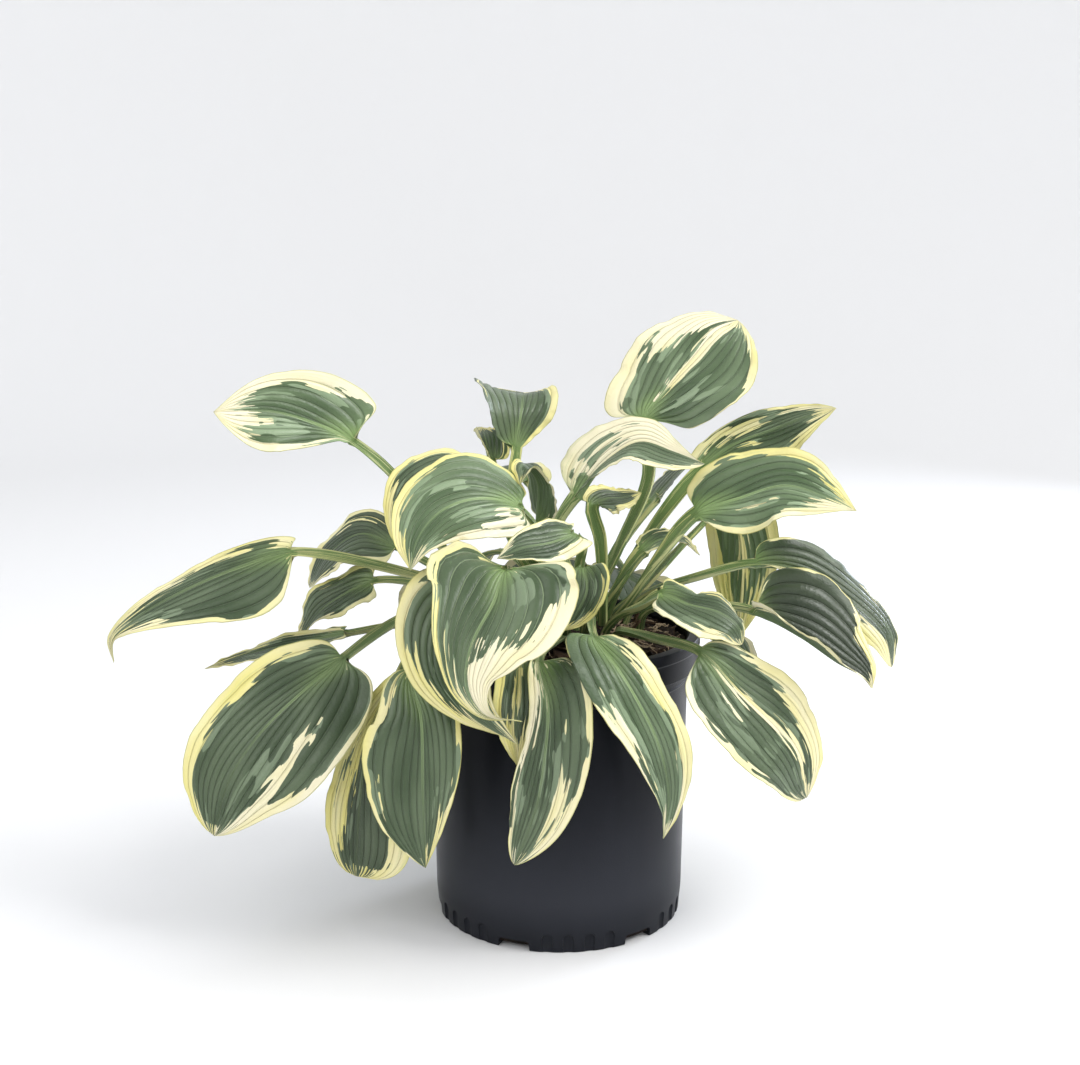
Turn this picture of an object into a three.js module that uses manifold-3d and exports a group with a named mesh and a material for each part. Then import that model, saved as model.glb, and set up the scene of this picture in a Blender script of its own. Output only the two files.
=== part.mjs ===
// A potted hosta: a nursery pot, the potting soil in it, and every leaf of the plant with its own stalk.
// Millimetres, +Z up. The origin is the middle of the pot's flat underside, and -Y is the front.
import * as THREE from "three";
import { mergeVertices } from "three/addons/utils/BufferGeometryUtils.js";
import Module from "manifold-3d";

const wasm = await Module();
wasm.setup();

// Pot: a rim band with a step in it, a slightly tapered body and a foot
const POT_HEIGHT = 229;
const RIM_RADIUS = 111;
const RIM_BAND = 24;
const RIM_STEP = 8;
const RIM_STEP_OUT = 0.8;
const WALL = 2;
const BODY_TOP_RADIUS = 102;
const BODY_FOOT_RADIUS = 99;
const FOOT_RADIUS = 97.5;
const FOOT_HEIGHT = 17;
const FOOT_FLARE = 0.6;
const FOOT_CHAMFER = 1;
const LIP = 1.5;
const FLOOR = 3;
const POT_SIDES = 60;

// Foot of the pot: drain notches, with short upright grooves between them
const NOTCHES = 6;
const NOTCH_FIRST_DEG = -111.5;
const NOTCH_WIDTH = 25;
const NOTCH_HEIGHT = 8;
const NOTCH_INNER_RADIUS = 76;
const GROOVES_BETWEEN = 4;
const GROOVE_STEP_DEG = 9.5;
const GROOVE_WIDTH = 8.5;
const GROOVE_HEIGHT = 14;
const GROOVE_DEPTH = 1.6;
const CUT_PAST = 5;

// Soil
const SOIL_EDGE = 219;
const MOUND = 17;
const MOUND_SPREAD = 62;
const SOIL_GAP = 0.6;
const SOIL_RADII = [16, 34, 54, 76];
const SOIL_SECTORS = 24;

// Crown of the plant, where every stalk comes out of the soil
const CROWN = [18, 8];
const ROOT_DEPTH = 9;
const HOLE_GAP = 0.6;
const ROOT_STEPS = [9, 16, 27];

// Leaves
const BLADE_THICKNESS = 0.9;
const KEEL = 1.1;
const STALK_WIDE = 3.4;
const ROOT_WIDE = 4.4;
const STALK_DEEP = 0.72;
const STUB_WIDE = [2.6, 1.7];
const LOBE_AT = 0.13;
const BLADE_ROWS = [0.05, 0.13, 0.24, 0.37, 0.51, 0.65, 0.79, 0.91];
const BLADE_COLUMNS = [-1, -0.66, -0.3, 0, 0.3, 0.66, 1];
const LOBE_BEND = 1.6;
const BASE_FADE = 8;
const FORM = [0.6, 1.05];
const RIGHT_WAVE_SHIFT = 0.37;
const STALK_ROWS = 4;
const STUB_ROWS = 4;
const LINE_STEPS = 96;

// Corners of a stalk's section: how far across and up, in half widths and depths, and how far round.
// The first three are its right edge, the channel and its left edge, and the rest go round the underside.
const STALK_CORNERS = [
  [-1, 0.55, 0],
  [0, 0.2, 0.25],
  [1, 0.55, 0.5],
  [0.72, -0.6, 0.625],
  [0, -1.1, 0.75],
  [-0.72, -0.6, 0.875],
];

const GREEN = 0x4c6650;
const POT_BLACK = 0x1d1e22;
const SOIL_BROWN = 0x2b211b;
const DRY_BROWN = 0x6b4a32;

const rad = THREE.MathUtils.degToRad;

// Each leaf: root is its distance in mm and its bearing in degrees from the middle of the crown.
// stalk and rib are points in mm: the stalk's bends, then the midrib from the blade's base to its tip.
// wide is the half width on the left and on the right, seen from above with the tip pointing away.
// lobe is how far the heart-shaped base reaches back, as a share of the blade's length.
// roll turns the blade about its midrib at the base and at the tip, in degrees.
// fold lifts both halves like a V at the base and at the tip, and curl bends the left and right margins.
// wave is the margin's ripple: its height in mm, the number of waves and the phase in turns.
// form is the outline of the left and of the right half: how blunt it is at the base and at the tip.
const LEAVES = [
  {
    name: "leaf_upper_left",
    root: [22, 186],
    stalk: [[-94, 4, 296], [-125, 0, 347]],
    rib: [[-160, -6, 380], [-186, -14, 394], [-217, -26, 405], [-258, -44, 407]],
    wide: [33, 40], lobe: [0.05, 0.12], roll: [-62, -70], fold: [18, 6], curl: [-10, -10], wave: [3, 2, 0.1],
    form: [[1.6, 1], [0.42, 1]], stalkWide: 3.9,
  },
  {
    name: "leaf_left_long",
    root: [34, 181],
    stalk: [[-63, 0, 256], [-119, -4, 275]],
    rib: [
      [-209, -6, 292], [-246, -14, 283], [-292, -24, 265],
      [-325, -34, 247], [-344, -38, 230], [-343, -40, 212],
    ],
    wide: [46, 15], lobe: [0.04, 0.1], roll: [-58, -62], fold: [20, 8], curl: [-10, -12], wave: [4, 2, 0.3],
    form: [[0.7, 1.9], [0.5, 1]], stalkWide: 4.2,
  },
  {
    name: "leaf_low_left_big",
    root: [46, 200],
    stalk: [[-70, -16, 262], [-127, -30, 242]],
    rib: [[-166, -44, 217], [-199, -62, 193], [-229, -76, 164], [-250, -84, 132], [-262, -84, 89]],
    wide: [64, 48], lobe: [0.12, 0.06], roll: [-50, -50], fold: [10, 4], curl: [-14, -14], wave: [4, 2, 0.4],
    form: [[0.7, 0.8], [0.65, 0.6]], stalkWide: 4.2,
  },
  {
    name: "leaf_low_left_sliver",
    root: [46, 186],
    stalk: [[-64, 6, 238], [-112, 8, 233]],
    rib: [[-170, 0, 225], [-214, -2, 217], [-253, -6, 208], [-280, -10, 199]],
    wide: [26, 12], lobe: [0.1, 0.1], roll: [-15, -15], fold: [20, 8], curl: [-10, -10], wave: [2, 2, 0],
  },
  {
    name: "leaf_low_left_second",
    root: [46, 228],
    stalk: [[-83, -70, 252]],
    rib: [[-110, -92, 221], [-102, -112, 191], [-101, -120, 136], [-100, -114, 76]],
    wide: [29, 46], lobe: [0.05, 0.05], roll: [-40, -40], fold: [10, 6], curl: [-22, -26], wave: [3, 2, 0.2],
    form: [[0.6, 1.05], [0.9, 0.9]],
  },
  {
    name: "leaf_low_left_third",
    root: [46, 214],
    stalk: [[-96, -42, 240]],
    rib: [[-127, -50, 199], [-146, -56, 159], [-154, -62, 108], [-158, -62, 47]],
    wide: [48, 28], lobe: [0.12, 0.12], roll: [-48, -48], fold: [12, 8], curl: [-16, -14], wave: [3, 2, 0.5],
    form: [[1.2, 0.4], [1.2, 0.5]],
  },
  {
    name: "leaf_centre_left_dome",
    root: [22, 218],
    stalk: [[-6, -15, 287]],
    rib: [[-30, -36, 333], [-60, -55, 344], [-88, -69, 337], [-105, -82, 318], [-110, -89, 296]],
    wide: [34, 46], lobe: [0.18, 0.18], roll: [-46, -50], fold: [10, 2], curl: [-20, -36], wave: [3, 2, 0.2],
  },
  {
    name: "leaf_centre_left_back",
    root: [22, 160],
    stalk: [[-33, 6, 290]],
    rib: [[-58, 4, 342], [-84, -8, 361], [-112, -26, 350], [-124, -38, 326], [-122, -48, 303]],
    wide: [30, 23], lobe: [0.12, 0.12], roll: [-40, -40], fold: [8, 0], curl: [-24, -24], wave: [3, 2, 0.6],
  },
  {
    name: "leaf_front_heart",
    root: [34, 246],
    stalk: [[-6, -76, 276]],
    rib: [
      [-39, -122, 304], [-48, -144, 286], [-63, -162, 259],
      [-66, -170, 233], [-54, -174, 214], [-27, -172, 208],
    ],
    wide: [58, 57], lobe: [0.22, 0.27], roll: [0, -10], fold: [14, 6], curl: [-18, -14], wave: [3, 2, 0.1],
    form: [[0.9, 2.35], [0.6, 2.55]],
  },
  {
    name: "leaf_front_left_under",
    root: [34, 226],
    stalk: [[-26, -54, 262]],
    rib: [[-58, -84, 280], [-82, -104, 262], [-86, -118, 232], [-68, -130, 202], [-31, -134, 178]],
    wide: [38, 43], lobe: [0.12, 0.12], roll: [0, -10], fold: [8, 6], curl: [-14, -14], wave: [3, 2, 0.5],
    form: [[0.6, 1.05], [0.6, 2.2]],
  },
  {
    name: "leaf_front_low_back",
    root: [46, 242],
    stalk: [[-10, -80, 250]],
    rib: [[-28, -106, 242], [-31, -122, 214], [-33, -124, 185], [-31, -122, 157]],
    wide: [20, 20], lobe: [0.1, 0.1], roll: [-30, -30], fold: [24, 16], curl: [-10, -10], wave: [2, 2, 0.3],
  },
  {
    name: "leaf_small_curl",
    root: [22, 254],
    stalk: [[14, -34, 285], [16, -72, 314]],
    rib: [[10, -92, 324], [-8, -106, 321], [-28, -116, 319], [-46, -120, 312]],
    wide: [17, 19], lobe: [0.2, 0.34], roll: [-25, -25], fold: [4, 0], curl: [-20, 10], wave: [4, 1, 0.3],
  },
  {
    name: "leaf_front_right_under",
    root: [34, 272],
    stalk: [[18, -40, 268]],
    rib: [[17, -60, 292], [19, -80, 279], [10, -86, 261], [-1, -87, 250]],
    wide: [18, 20], lobe: [0.14, 0.14], roll: [10, 10], fold: [10, 6], curl: [-20, -20], wave: [2, 2, 0.2],
  },
  {
    name: "leaf_front_bottom",
    root: [46, 256],
    stalk: [[-4, -92, 244]],
    rib: [[-16, -124, 238], [-10, -138, 211], [-12, -142, 172], [-19, -138, 129], [-34, -130, 85]],
    wide: [34, 20], lobe: [0.08, 0.08], roll: [-6, -6], fold: [10, 6], curl: [-20, -20], wave: [4, 2, 0.6],
    form: [[0.45, 0.75], [1, 0.7]],
  },
  {
    name: "leaf_front_right",
    root: [46, 273],
    stalk: [[22, -74, 256]],
    rib: [
      [24, -102, 250], [40, -126, 234], [54, -134, 212],
      [70, -134, 178], [78, -128, 138], [75, -122, 102],
    ],
    wide: [26, 34], lobe: [0.05, 0.05], roll: [0, 10], fold: [16, 10], curl: [-14, -20], wave: [4, 2, 0.9],
    form: [[0.6, 0.9], [0.5, 1.4]],
  },
  {
    name: "leaf_low_right",
    root: [46, 302],
    stalk: [[46, -56, 242], [74, -70, 239]],
    rib: [[104, -78, 232], [135, -78, 200], [164, -76, 171], [180, -72, 147], [189, -66, 113]],
    wide: [36, 46], lobe: [0.04, 0.05], roll: [48, 40], fold: [12, 6], curl: [-8, -8], wave: [3, 2, 0.3],
    form: [[0.8, 0.8], [0.35, 0.5]], stalkWide: 4,
  },
  {
    name: "leaf_mid_right_small",
    root: [34, 300],
    stalk: [[46, -30, 248], [62, -38, 257]],
    rib: [[77, -46, 268], [97, -60, 264], [119, -70, 260], [132, -74, 251], [136, -72, 236]],
    wide: [17, 31], lobe: [0.1, 0.1], roll: [30, 20], fold: [20, 6], curl: [-30, -20], wave: [4, 2, 0.2],
    form: [[0.5, 0.9], [0.7, 0.7]], stalkWide: 6,
  },
  {
    name: "leaf_right_long",
    root: [34, 2],
    stalk: [[64, 10, 252], [111, 8, 270]],
    rib: [[155, 8, 280], [188, 6, 276], [226, 0, 254], [257, -6, 225], [262, -10, 200]],
    wide: [28, 20], lobe: [0.02, 0.02], roll: [30, 30], fold: [34, 4], curl: [-20, -75], wave: [3, 1, 0.2],
    form: [[0.45, 0.6], [1.5, 0.7]], stalkWide: 4.2,
  },
  {
    name: "leaf_right_under",
    root: [46, 350],
    stalk: [[68, -8, 246], [110, -18, 254]],
    rib: [[150, -34, 252], [183, -48, 237], [210, -58, 219], [229, -60, 208], [237, -60, 198]],
    wide: [54, 30], lobe: [0.1, 0.1], roll: [10, 10], fold: [46, 30], curl: [-10, -10], wave: [3, 2, 0.7],
    form: [[0.6, 0.9], [0.6, 1.05]], stalkWide: 4,
  },
  {
    name: "leaf_right_back_hanging",
    root: [34, 40],
    stalk: [[66, 40, 250], [112, 60, 296]],
    rib: [[142, 80, 318], [154, 92, 282], [156, 98, 237], [154, 98, 193]],
    wide: [32, 32], lobe: [0.1, 0.1], roll: [-30, -40], fold: [10, 6], curl: [-10, -10], wave: [3, 2, 0.4],
  },
  {
    name: "leaf_right_upper",
    root: [24, 352],
    stalk: [[54, -2, 252], [78, -5, 289]],
    rib: [[107, -4, 323], [139, -14, 337], [171, -28, 349], [200, -38, 342], [223, -44, 332]],
    wide: [38, 34], lobe: [0.06, 0.02], roll: [50, 55], fold: [14, 6], curl: [-16, -14], wave: [4, 2, 0.8],
    form: [[0.6, 1.05], [0.8, 1.2]], stalkWide: 7,
  },
  {
    name: "leaf_right_upper_back",
    root: [22, 24],
    stalk: [[50, 20, 264], [82, 35, 312]],
    rib: [[117, 50, 351], [141, 56, 368], [173, 58, 380], [197, 54, 390], [222, 50, 398]],
    wide: [18, 34], lobe: [0.14, 0.14], roll: [60, 60], fold: [16, 8], curl: [-10, -10], wave: [5, 2, 0.2],
    form: [[0.6, 0.8], [0.6, 1.05]], stalkWide: 6,
  },
  {
    name: "leaf_top_round",
    root: [11, 60],
    stalk: [[48, 24, 290], [72, 36, 346]],
    rib: [[68, 40, 391], [84, 44, 413], [104, 52, 436], [125, 64, 458], [145, 80, 466]],
    wide: [50, 60], lobe: [0.14, 0], roll: [30, 30], fold: [8, 4], curl: [-8, -8], wave: [3, 2, 0.2],
    form: [[0.6, 0.8], [0.6, 0.7]], stalkWide: 6.2,
  },
  {
    name: "leaf_centre_arch",
    root: [11, 290],
    stalk: [[10, -8, 262], [-4, -12, 308]],
    rib: [[12, -20, 340], [35, -24, 368], [60, -30, 383], [84, -38, 377], [108, -44, 368]],
    wide: [35, 32], lobe: [0.02, 0.02], roll: [40, 40], fold: [30, 20], curl: [-20, -10], wave: [2, 1, 0.2],
    form: [[0.5, 1.6], [0.8, 0.7]], stalkWide: 6,
  },
  {
    name: "leaf_top_left_heart",
    root: [11, 130],
    stalk: [[-23, 16, 281], [-37, 26, 336]],
    rib: [[-34, 36, 369], [-30, 44, 396], [-29, 62, 406], [-28, 90, 406]],
    wide: [42, 29], lobe: [0, 0], roll: [0, 0], fold: [14, 6], curl: [20, 10], wave: [4, 1, 0.2],
    form: [[0.42, 0.35], [0.9, 0.7]], stalkWide: 5,
  },
  {
    name: "leaf_back_left_fold",
    root: [22, 126],
    stalk: [[-19, 30, 280], [-48, 46, 334]],
    rib: [[-54, 54, 355], [-60, 66, 371], [-64, 88, 378]],
    wide: [12, 18], lobe: [0.1, 0.1], roll: [0, 0], fold: [30, 20], curl: [10, 10], wave: [2, 1, 0.2],
  },
  {
    name: "leaf_inner_green_arch",
    root: [0, 0],
    stalk: [[-6, 10, 283]],
    rib: [[-14, 15, 315], [-16, 8, 346], [-25, -5, 358], [-31, -17, 347]],
    wide: [22, 26], lobe: [0.1, 0.1], roll: [0, 0], fold: [20, 10], curl: [-20, -20], wave: [2, 1, 0.2],
    stalkWide: 5,
  },
  {
    name: "leaf_left_back_upper",
    root: [34, 158],
    stalk: [[-64, 30, 253]],
    rib: [[-133, 54, 284], [-162, 64, 293], [-189, 66, 276], [-206, 64, 247]],
    wide: [36, 25], lobe: [0.12, 0.12], roll: [-40, -30], fold: [14, 6], curl: [-14, -14], wave: [4, 2, 0.2],
    form: [[0.6, 0.8], [0.6, 0.4]],
  },
  {
    name: "leaf_left_back_lower",
    root: [46, 168],
    stalk: [[-63, 20, 247], [-112, 28, 259]],
    rib: [[-150, 34, 260], [-179, 34, 246], [-195, 30, 234], [-211, 24, 210]],
    wide: [24, 24], lobe: [0.12, 0.12], roll: [-40, -30], fold: [14, 6], curl: [-14, -14], wave: [4, 2, 0.7],
    form: [[0.6, 1.6], [0.6, 0.7]],
  },
  {
    name: "leaf_inner_dark",
    root: [22, 318],
    stalk: [[34, -8, 268], [32, -4, 304]],
    rib: [[26, 4, 328], [37, 10, 332], [50, 14, 332], [65, 18, 335]],
    wide: [14, 22], lobe: [0.1, 0.1], roll: [30, 30], fold: [20, 10], curl: [-10, -10], wave: [2, 1, 0.2],
    stalkWide: 6,
  },
  {
    name: "leaf_back_right_dark",
    root: [22, 57],
    stalk: [[44, 40, 278]],
    rib: [[78, 68, 321], [94, 84, 335], [108, 98, 345], [118, 114, 350]],
    wide: [26, 16], lobe: [0.1, 0.1], roll: [-20, -20], fold: [14, 6], curl: [-10, -10], wave: [3, 1, 0.4],
    stalkWide: 6.2,
  },
  {
    name: "leaf_inner_small",
    root: [11, 0],
    stalk: [[44, 8, 259]],
    rib: [[66, 12, 290], [82, 15, 299], [98, 17, 297], [112, 16, 285]],
    wide: [13, 13], lobe: [0.06, 0.06], roll: [20, 20], fold: [20, 10], curl: [-10, -10], wave: [2, 1, 0.2],
    stalkWide: 7,
  },
  {
    name: "leaf_back_centre",
    root: [34, 95],
    stalk: [[0, 78, 275]],
    rib: [[-10, 112, 255], [-18, 152, 225], [-24, 184, 170], [-26, 196, 110]],
    wide: [44, 44], lobe: [0.16, 0.16], roll: [0, 0], fold: [12, 4], curl: [-20, -20], wave: [4, 2, 0.1],
  },
  {
    name: "leaf_back_left",
    root: [34, 136],
    stalk: [[-40, 66, 276]],
    rib: [[-74, 94, 264], [-100, 124, 238], [-116, 152, 190], [-124, 164, 130]],
    wide: [40, 42], lobe: [0.16, 0.16], roll: [0, 0], fold: [12, 4], curl: [-20, -20], wave: [4, 2, 0.6],
  },
  {
    name: "leaf_back_right",
    root: [34, 70],
    stalk: [[44, 80, 268]],
    rib: [[58, 108, 250], [78, 140, 225], [94, 164, 175], [100, 172, 120]],
    wide: [40, 36], lobe: [0.16, 0.16], roll: [0, 0], fold: [12, 4], curl: [-20, -20], wave: [4, 2, 0.3],
  },
  {
    name: "leaf_back_right_low",
    root: [46, 52],
    stalk: [[76, 58, 246]],
    rib: [[104, 74, 234], [136, 92, 210], [156, 104, 170], [160, 112, 124]],
    wide: [32, 34], lobe: [0.14, 0.14], roll: [0, 0], fold: [12, 4], curl: [-20, -20], wave: [3, 2, 0.8],
  },
  {
    name: "leaf_back_upper",
    root: [22, 92],
    stalk: [[-2, 60, 290]],
    rib: [[-26, 88, 332], [-48, 110, 340], [-72, 126, 328], [-88, 134, 300]],
    wide: [34, 34], lobe: [0.14, 0.14], roll: [0, 0], fold: [12, 4], curl: [-20, -20], wave: [3, 2, 0.4],
  },
];

// Dry stalks left in the crown: rows like the leaves', where rib is only the broken end.
const STUBS = [
  { name: "dry_stalk_1", root: [46, 20], stalk: [], rib: [[70, 26, 252]] },
  { name: "dry_stalk_2", root: [47, 35], stalk: [], rib: [[66, 42, 246]] },
  { name: "dry_stalk_3", root: [46, 322], stalk: [], rib: [[62, -30, 244]] },
];

// The mound of soil: its height at a point
function soilHeight(x, y) {
  const d = Math.hypot(x - CROWN[0], y - CROWN[1]) / MOUND_SPREAD;
  return SOIL_EDGE + MOUND * Math.exp(-d * d);
}

function rootPoint(leaf, down) {
  const [reach, bearing] = leaf.root;
  const x = CROWN[0] + reach * Math.cos(rad(bearing));
  const y = CROWN[1] + reach * Math.sin(rad(bearing));
  return new THREE.Vector3(x, y, soilHeight(x, y) - down);
}

// A closed body built up ring by ring. Every ring runs the same way round the line of travel.
class Loft {
  constructor() {
    this.points = [];
    this.faces = [];
    this.last = null;
  }
  add(ring) {
    const start = this.points.length;
    this.points.push(...ring.map((r) => r.point));
    return ring.map((r, i) => ({ id: start + i, at: r.at }));
  }
  // Joins the next ring to the last one. The rings may have different numbers of points. Where both have
  // a point at the same place, the diagonal runs alike on the upper face and on the lower one.
  ring(ring) {
    const next = this.add(ring);
    if (this.last) this.zip(this.last, next);
    else for (let i = 2; i < next.length; i++) this.faces.push([next[0].id, next[i - 1].id, next[i].id]);
    this.last = next;
  }
  zip(a, b) {
    let i = 0;
    let j = 0;
    const at = (ring, k) => (k < ring.length ? ring[k].at : 1 + ring[0].at);
    const id = (ring, k) => ring[k % ring.length].id;
    while (i < a.length || j < b.length) {
      const ahead = at(b, j + 1) - at(a, i + 1);
      const turnA = j >= b.length || (i < a.length && (at(a, i) < 0.5 ? ahead >= 0 : ahead > 0));
      if (turnA) {
        this.faces.push([id(a, i), id(b, j), id(a, i + 1)]);
        i += 1;
      } else {
        this.faces.push([id(a, i), id(b, j), id(b, j + 1)]);
        j += 1;
      }
    }
  }
  // Closes the body with a flat end.
  cap() {
    const end = this.last;
    for (let i = 1; i < end.length - 1; i++) this.faces.push([end[0].id, end[i + 1].id, end[i].id]);
  }
  // Closes the body at a blade's tip: one point above and one below.
  tip(top, bottom) {
    const ring = this.last;
    const half = ring.length / 2;
    const [t, b] = this.add([{ point: top }, { point: bottom }]);
    for (let i = 0; i < half - 1; i++) {
      this.faces.push([ring[i].id, t.id, ring[i + 1].id]);
      this.faces.push([ring[half + i].id, b.id, ring[half + i + 1].id]);
    }
    this.faces.push([ring[half - 1].id, t.id, b.id], [ring[half - 1].id, b.id, ring[half].id]);
    this.faces.push([ring[2 * half - 1].id, b.id, t.id], [ring[2 * half - 1].id, t.id, ring[0].id]);
  }
  geometry() {
    const g = new THREE.BufferGeometry();
    g.setAttribute("position", new THREE.Float32BufferAttribute(this.points.flatMap((p) => p.toArray()), 3));
    g.setIndex(this.faces.flat());
    g.computeVertexNormals();
    return g;
  }
}

// A curve cut into short steps, so that a place on it can be found by its distance from the start.
class Line {
  constructor(curve, from, to) {
    const steps = LINE_STEPS;
    this.points = [];
    this.lengths = [0];
    for (let i = 0; i <= steps; i++) this.points.push(curve.getPoint(from + ((to - from) * i) / steps));
    for (let i = 1; i <= steps; i++)
      this.lengths.push(this.lengths[i - 1] + this.points[i].distanceTo(this.points[i - 1]));
    this.length = this.lengths[steps];
  }
  // The place at a distance, carried straight on past either end.
  at(distance) {
    const last = this.points.length - 2;
    let i = this.lengths.findIndex((l) => l > distance) - 1;
    if (distance >= this.length) i = last;
    i = Math.max(0, Math.min(last, i));
    const step = this.points[i + 1].clone().sub(this.points[i]);
    const share = (distance - this.lengths[i]) / step.length();
    return { point: this.points[i].clone().addScaledVector(step, share), along: step.normalize() };
  }
}

// The three directions at a place on a leaf's line: along it, to its left, and out of its upper face.
function frameAt(line, distance, left, rollDeg) {
  const { point, along } = line.at(distance);
  const side = left.clone().addScaledVector(along, -left.dot(along)).normalize();
  side.applyAxisAngle(along, rad(rollDeg));
  return { point, along, side, up: along.clone().cross(side) };
}

const mix = (pair, t) => pair[0] + (pair[1] - pair[0]) * t;
const smooth = (t) => t * t * (3 - 2 * t);

// Half width of a blade as a share of its widest, from base 0 to tip 1
function outline(u, [a, b]) {
  const peak = a / (a + b);
  return (Math.pow(u, a) * Math.pow(1 - u, b)) / (Math.pow(peak, a) * Math.pow(1 - peak, b));
}

// A point of a blade's upper face. u runs from base to tip and v from the right margin to the left.
function bladePoint(leaf, line, left, u, v) {
  const w = Math.abs(v);
  const half = v < 0 ? leaf.wide[1] : leaf.wide[0];
  const stalk = leaf.stalkWide ?? STALK_WIDE;
  const lobe = leaf.lobe[v < 0 ? 1 : 0];
  const back = lobe * (u / LOBE_AT) * Math.exp(1 - u / LOBE_AT) * Math.pow(w, LOBE_BEND);
  const f = frameAt(line, line.length * (u - back), left, mix(leaf.roll, u));
  const form = leaf.form ? leaf.form[v < 0 ? 1 : 0] : FORM;
  const reach = w * (half * outline(u, form) + stalk * Math.pow(1 - u, BASE_FADE));
  const fold = rad(mix(leaf.fold, smooth(u)));
  const bend = rad(v < 0 ? leaf.curl[1] : leaf.curl[0]) / half;
  const angle = fold + bend * reach;
  let out = reach * Math.cos(fold);
  let lift = reach * Math.sin(fold);
  if (Math.abs(bend * reach) > 1e-4) {
    out = (Math.sin(angle) - Math.sin(fold)) / bend;
    lift = (Math.cos(fold) - Math.cos(angle)) / bend;
  }
  const [height, count, phase] = leaf.wave;
  const turn = 2 * Math.PI * (count * u + phase + (v < 0 ? RIGHT_WAVE_SHIFT : 0));
  const ripple = height * w * w * Math.sin(turn) * Math.sin(Math.PI * Math.min(1, u + 0.05));
  return f.point
    .addScaledVector(f.side, Math.sign(v) * (out - ripple * Math.sin(angle)))
    .addScaledVector(f.up, lift + ripple * Math.cos(angle));
}

// One row of a blade: the upper face from right to left, then the lower face from left to right
function bladeRow(leaf, line, left, u) {
  const d = 0.01;
  const top = BLADE_COLUMNS.map((v) => bladePoint(leaf, line, left, u, v));
  const bottom = BLADE_COLUMNS.map((v, i) => {
    const ahead = bladePoint(leaf, line, left, Math.min(1, u + d), v);
    const behind = bladePoint(leaf, line, left, Math.max(0, u - d), v);
    const toLeft = top[Math.min(i + 1, top.length - 1)].clone().sub(top[Math.max(i - 1, 0)]);
    const normal = ahead.sub(behind).cross(toLeft).normalize();
    const keel = v === 0 ? KEEL * (1 - u) : 0;
    return top[i].clone().addScaledVector(normal, -(BLADE_THICKNESS + keel));
  });
  const upper = top.map((point, i) => ({ point, at: 0.25 * (BLADE_COLUMNS[i] + 1) }));
  const lower = bottom.map((point, i) => ({ point, at: 0.98 - 0.23 * (BLADE_COLUMNS[i] + 1) }));
  return [...upper, ...lower.reverse()];
}

// A channelled stalk section. A gap above 0 gives the section of the hole round it, which has no channel.
function stalkRing(frame, wide, gap = 0) {
  const deep = wide * STALK_DEEP;
  const edge = STALK_CORNERS[0][1];
  return STALK_CORNERS.map(([x, z, at]) => {
    const up = gap && z > 0 ? edge : z;
    return {
      point: frame.point
        .clone()
        .addScaledVector(frame.side, x * wide + Math.sign(x) * gap)
        .addScaledVector(frame.up, up * deep + Math.sign(z) * gap),
      at,
    };
  });
}

// The stalk's line, the blade's line and the level direction to the left of a leaf
function leafLines(leaf) {
  const root = rootPoint(leaf, ROOT_DEPTH);
  const points = [root, rootPoint(leaf, 0), ...leaf.stalk.map((p) => new THREE.Vector3(...p))];
  const base = points.length;
  points.push(...leaf.rib.map((p) => new THREE.Vector3(...p)));
  const curve = new THREE.CatmullRomCurve3(points, false, "centripetal");
  const split = base / (points.length - 1);
  const tip = points[points.length - 1];
  const bearing = Math.atan2(tip.y - root.y, tip.x - root.x);
  const left = new THREE.Vector3(-Math.sin(bearing), Math.cos(bearing), 0);
  return { stalkLine: new Line(curve, 0, split), bladeLine: new Line(curve, split, 1), left };
}

function leafGeometry(leaf) {
  const { stalkLine, bladeLine, left } = leafLines(leaf);
  const loft = new Loft();
  const soilEnd = ROOT_STEPS[ROOT_STEPS.length - 1];
  for (const distance of [0, ...ROOT_STEPS]) {
    loft.ring(stalkRing(frameAt(stalkLine, distance, left, 0), ROOT_WIDE));
  }
  for (let i = 1; i < STALK_ROWS; i++) {
    const t = i / STALK_ROWS;
    const roll = leaf.roll[0] * smooth(t);
    const wide = mix([ROOT_WIDE, leaf.stalkWide ?? STALK_WIDE], t);
    loft.ring(stalkRing(frameAt(stalkLine, mix([soilEnd, stalkLine.length], t), left, roll), wide));
  }
  for (const u of BLADE_ROWS) loft.ring(bladeRow(leaf, bladeLine, left, u));
  const end = frameAt(bladeLine, bladeLine.length, left, leaf.roll[1]);
  loft.tip(end.point, end.point.clone().addScaledVector(end.up, -BLADE_THICKNESS));
  return loft.geometry();
}

// The hole that a stalk stands in follows the stalk's first stretch
function holeFor(leaf) {
  const { stalkLine, left } = leafLines(leaf);
  const loft = new Loft();
  for (const distance of [-HOLE_GAP, ...ROOT_STEPS]) {
    loft.ring(stalkRing(frameAt(stalkLine, distance, left, 0), ROOT_WIDE, HOLE_GAP));
  }
  loft.cap();
  return loft.geometry();
}

// Solids to cut
function solid(geometry) {
  const g = geometry.clone();
  for (const name of Object.keys(g.attributes)) if (name !== "position") g.deleteAttribute(name);
  const merged = mergeVertices(g, 1e-4);
  return new wasm.Manifold(
    new wasm.Mesh({
      numProp: 3,
      vertProperties: new Float32Array(merged.attributes.position.array),
      triVerts: new Uint32Array(merged.index.array),
    }),
  );
}

function geometryOf(body) {
  const m = body.getMesh();
  const g = new THREE.BufferGeometry();
  g.setAttribute("position", new THREE.BufferAttribute(new Float32Array(m.vertProperties), 3));
  g.setIndex(new THREE.BufferAttribute(new Uint32Array(m.triVerts), 1));
  g.computeVertexNormals();
  return g;
}

// Outer radius of the pot's body at a height
function bodyRadius(z) {
  return mix([BODY_FOOT_RADIUS, BODY_TOP_RADIUS], (z - FOOT_HEIGHT) / (POT_HEIGHT - FOOT_HEIGHT));
}

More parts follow.
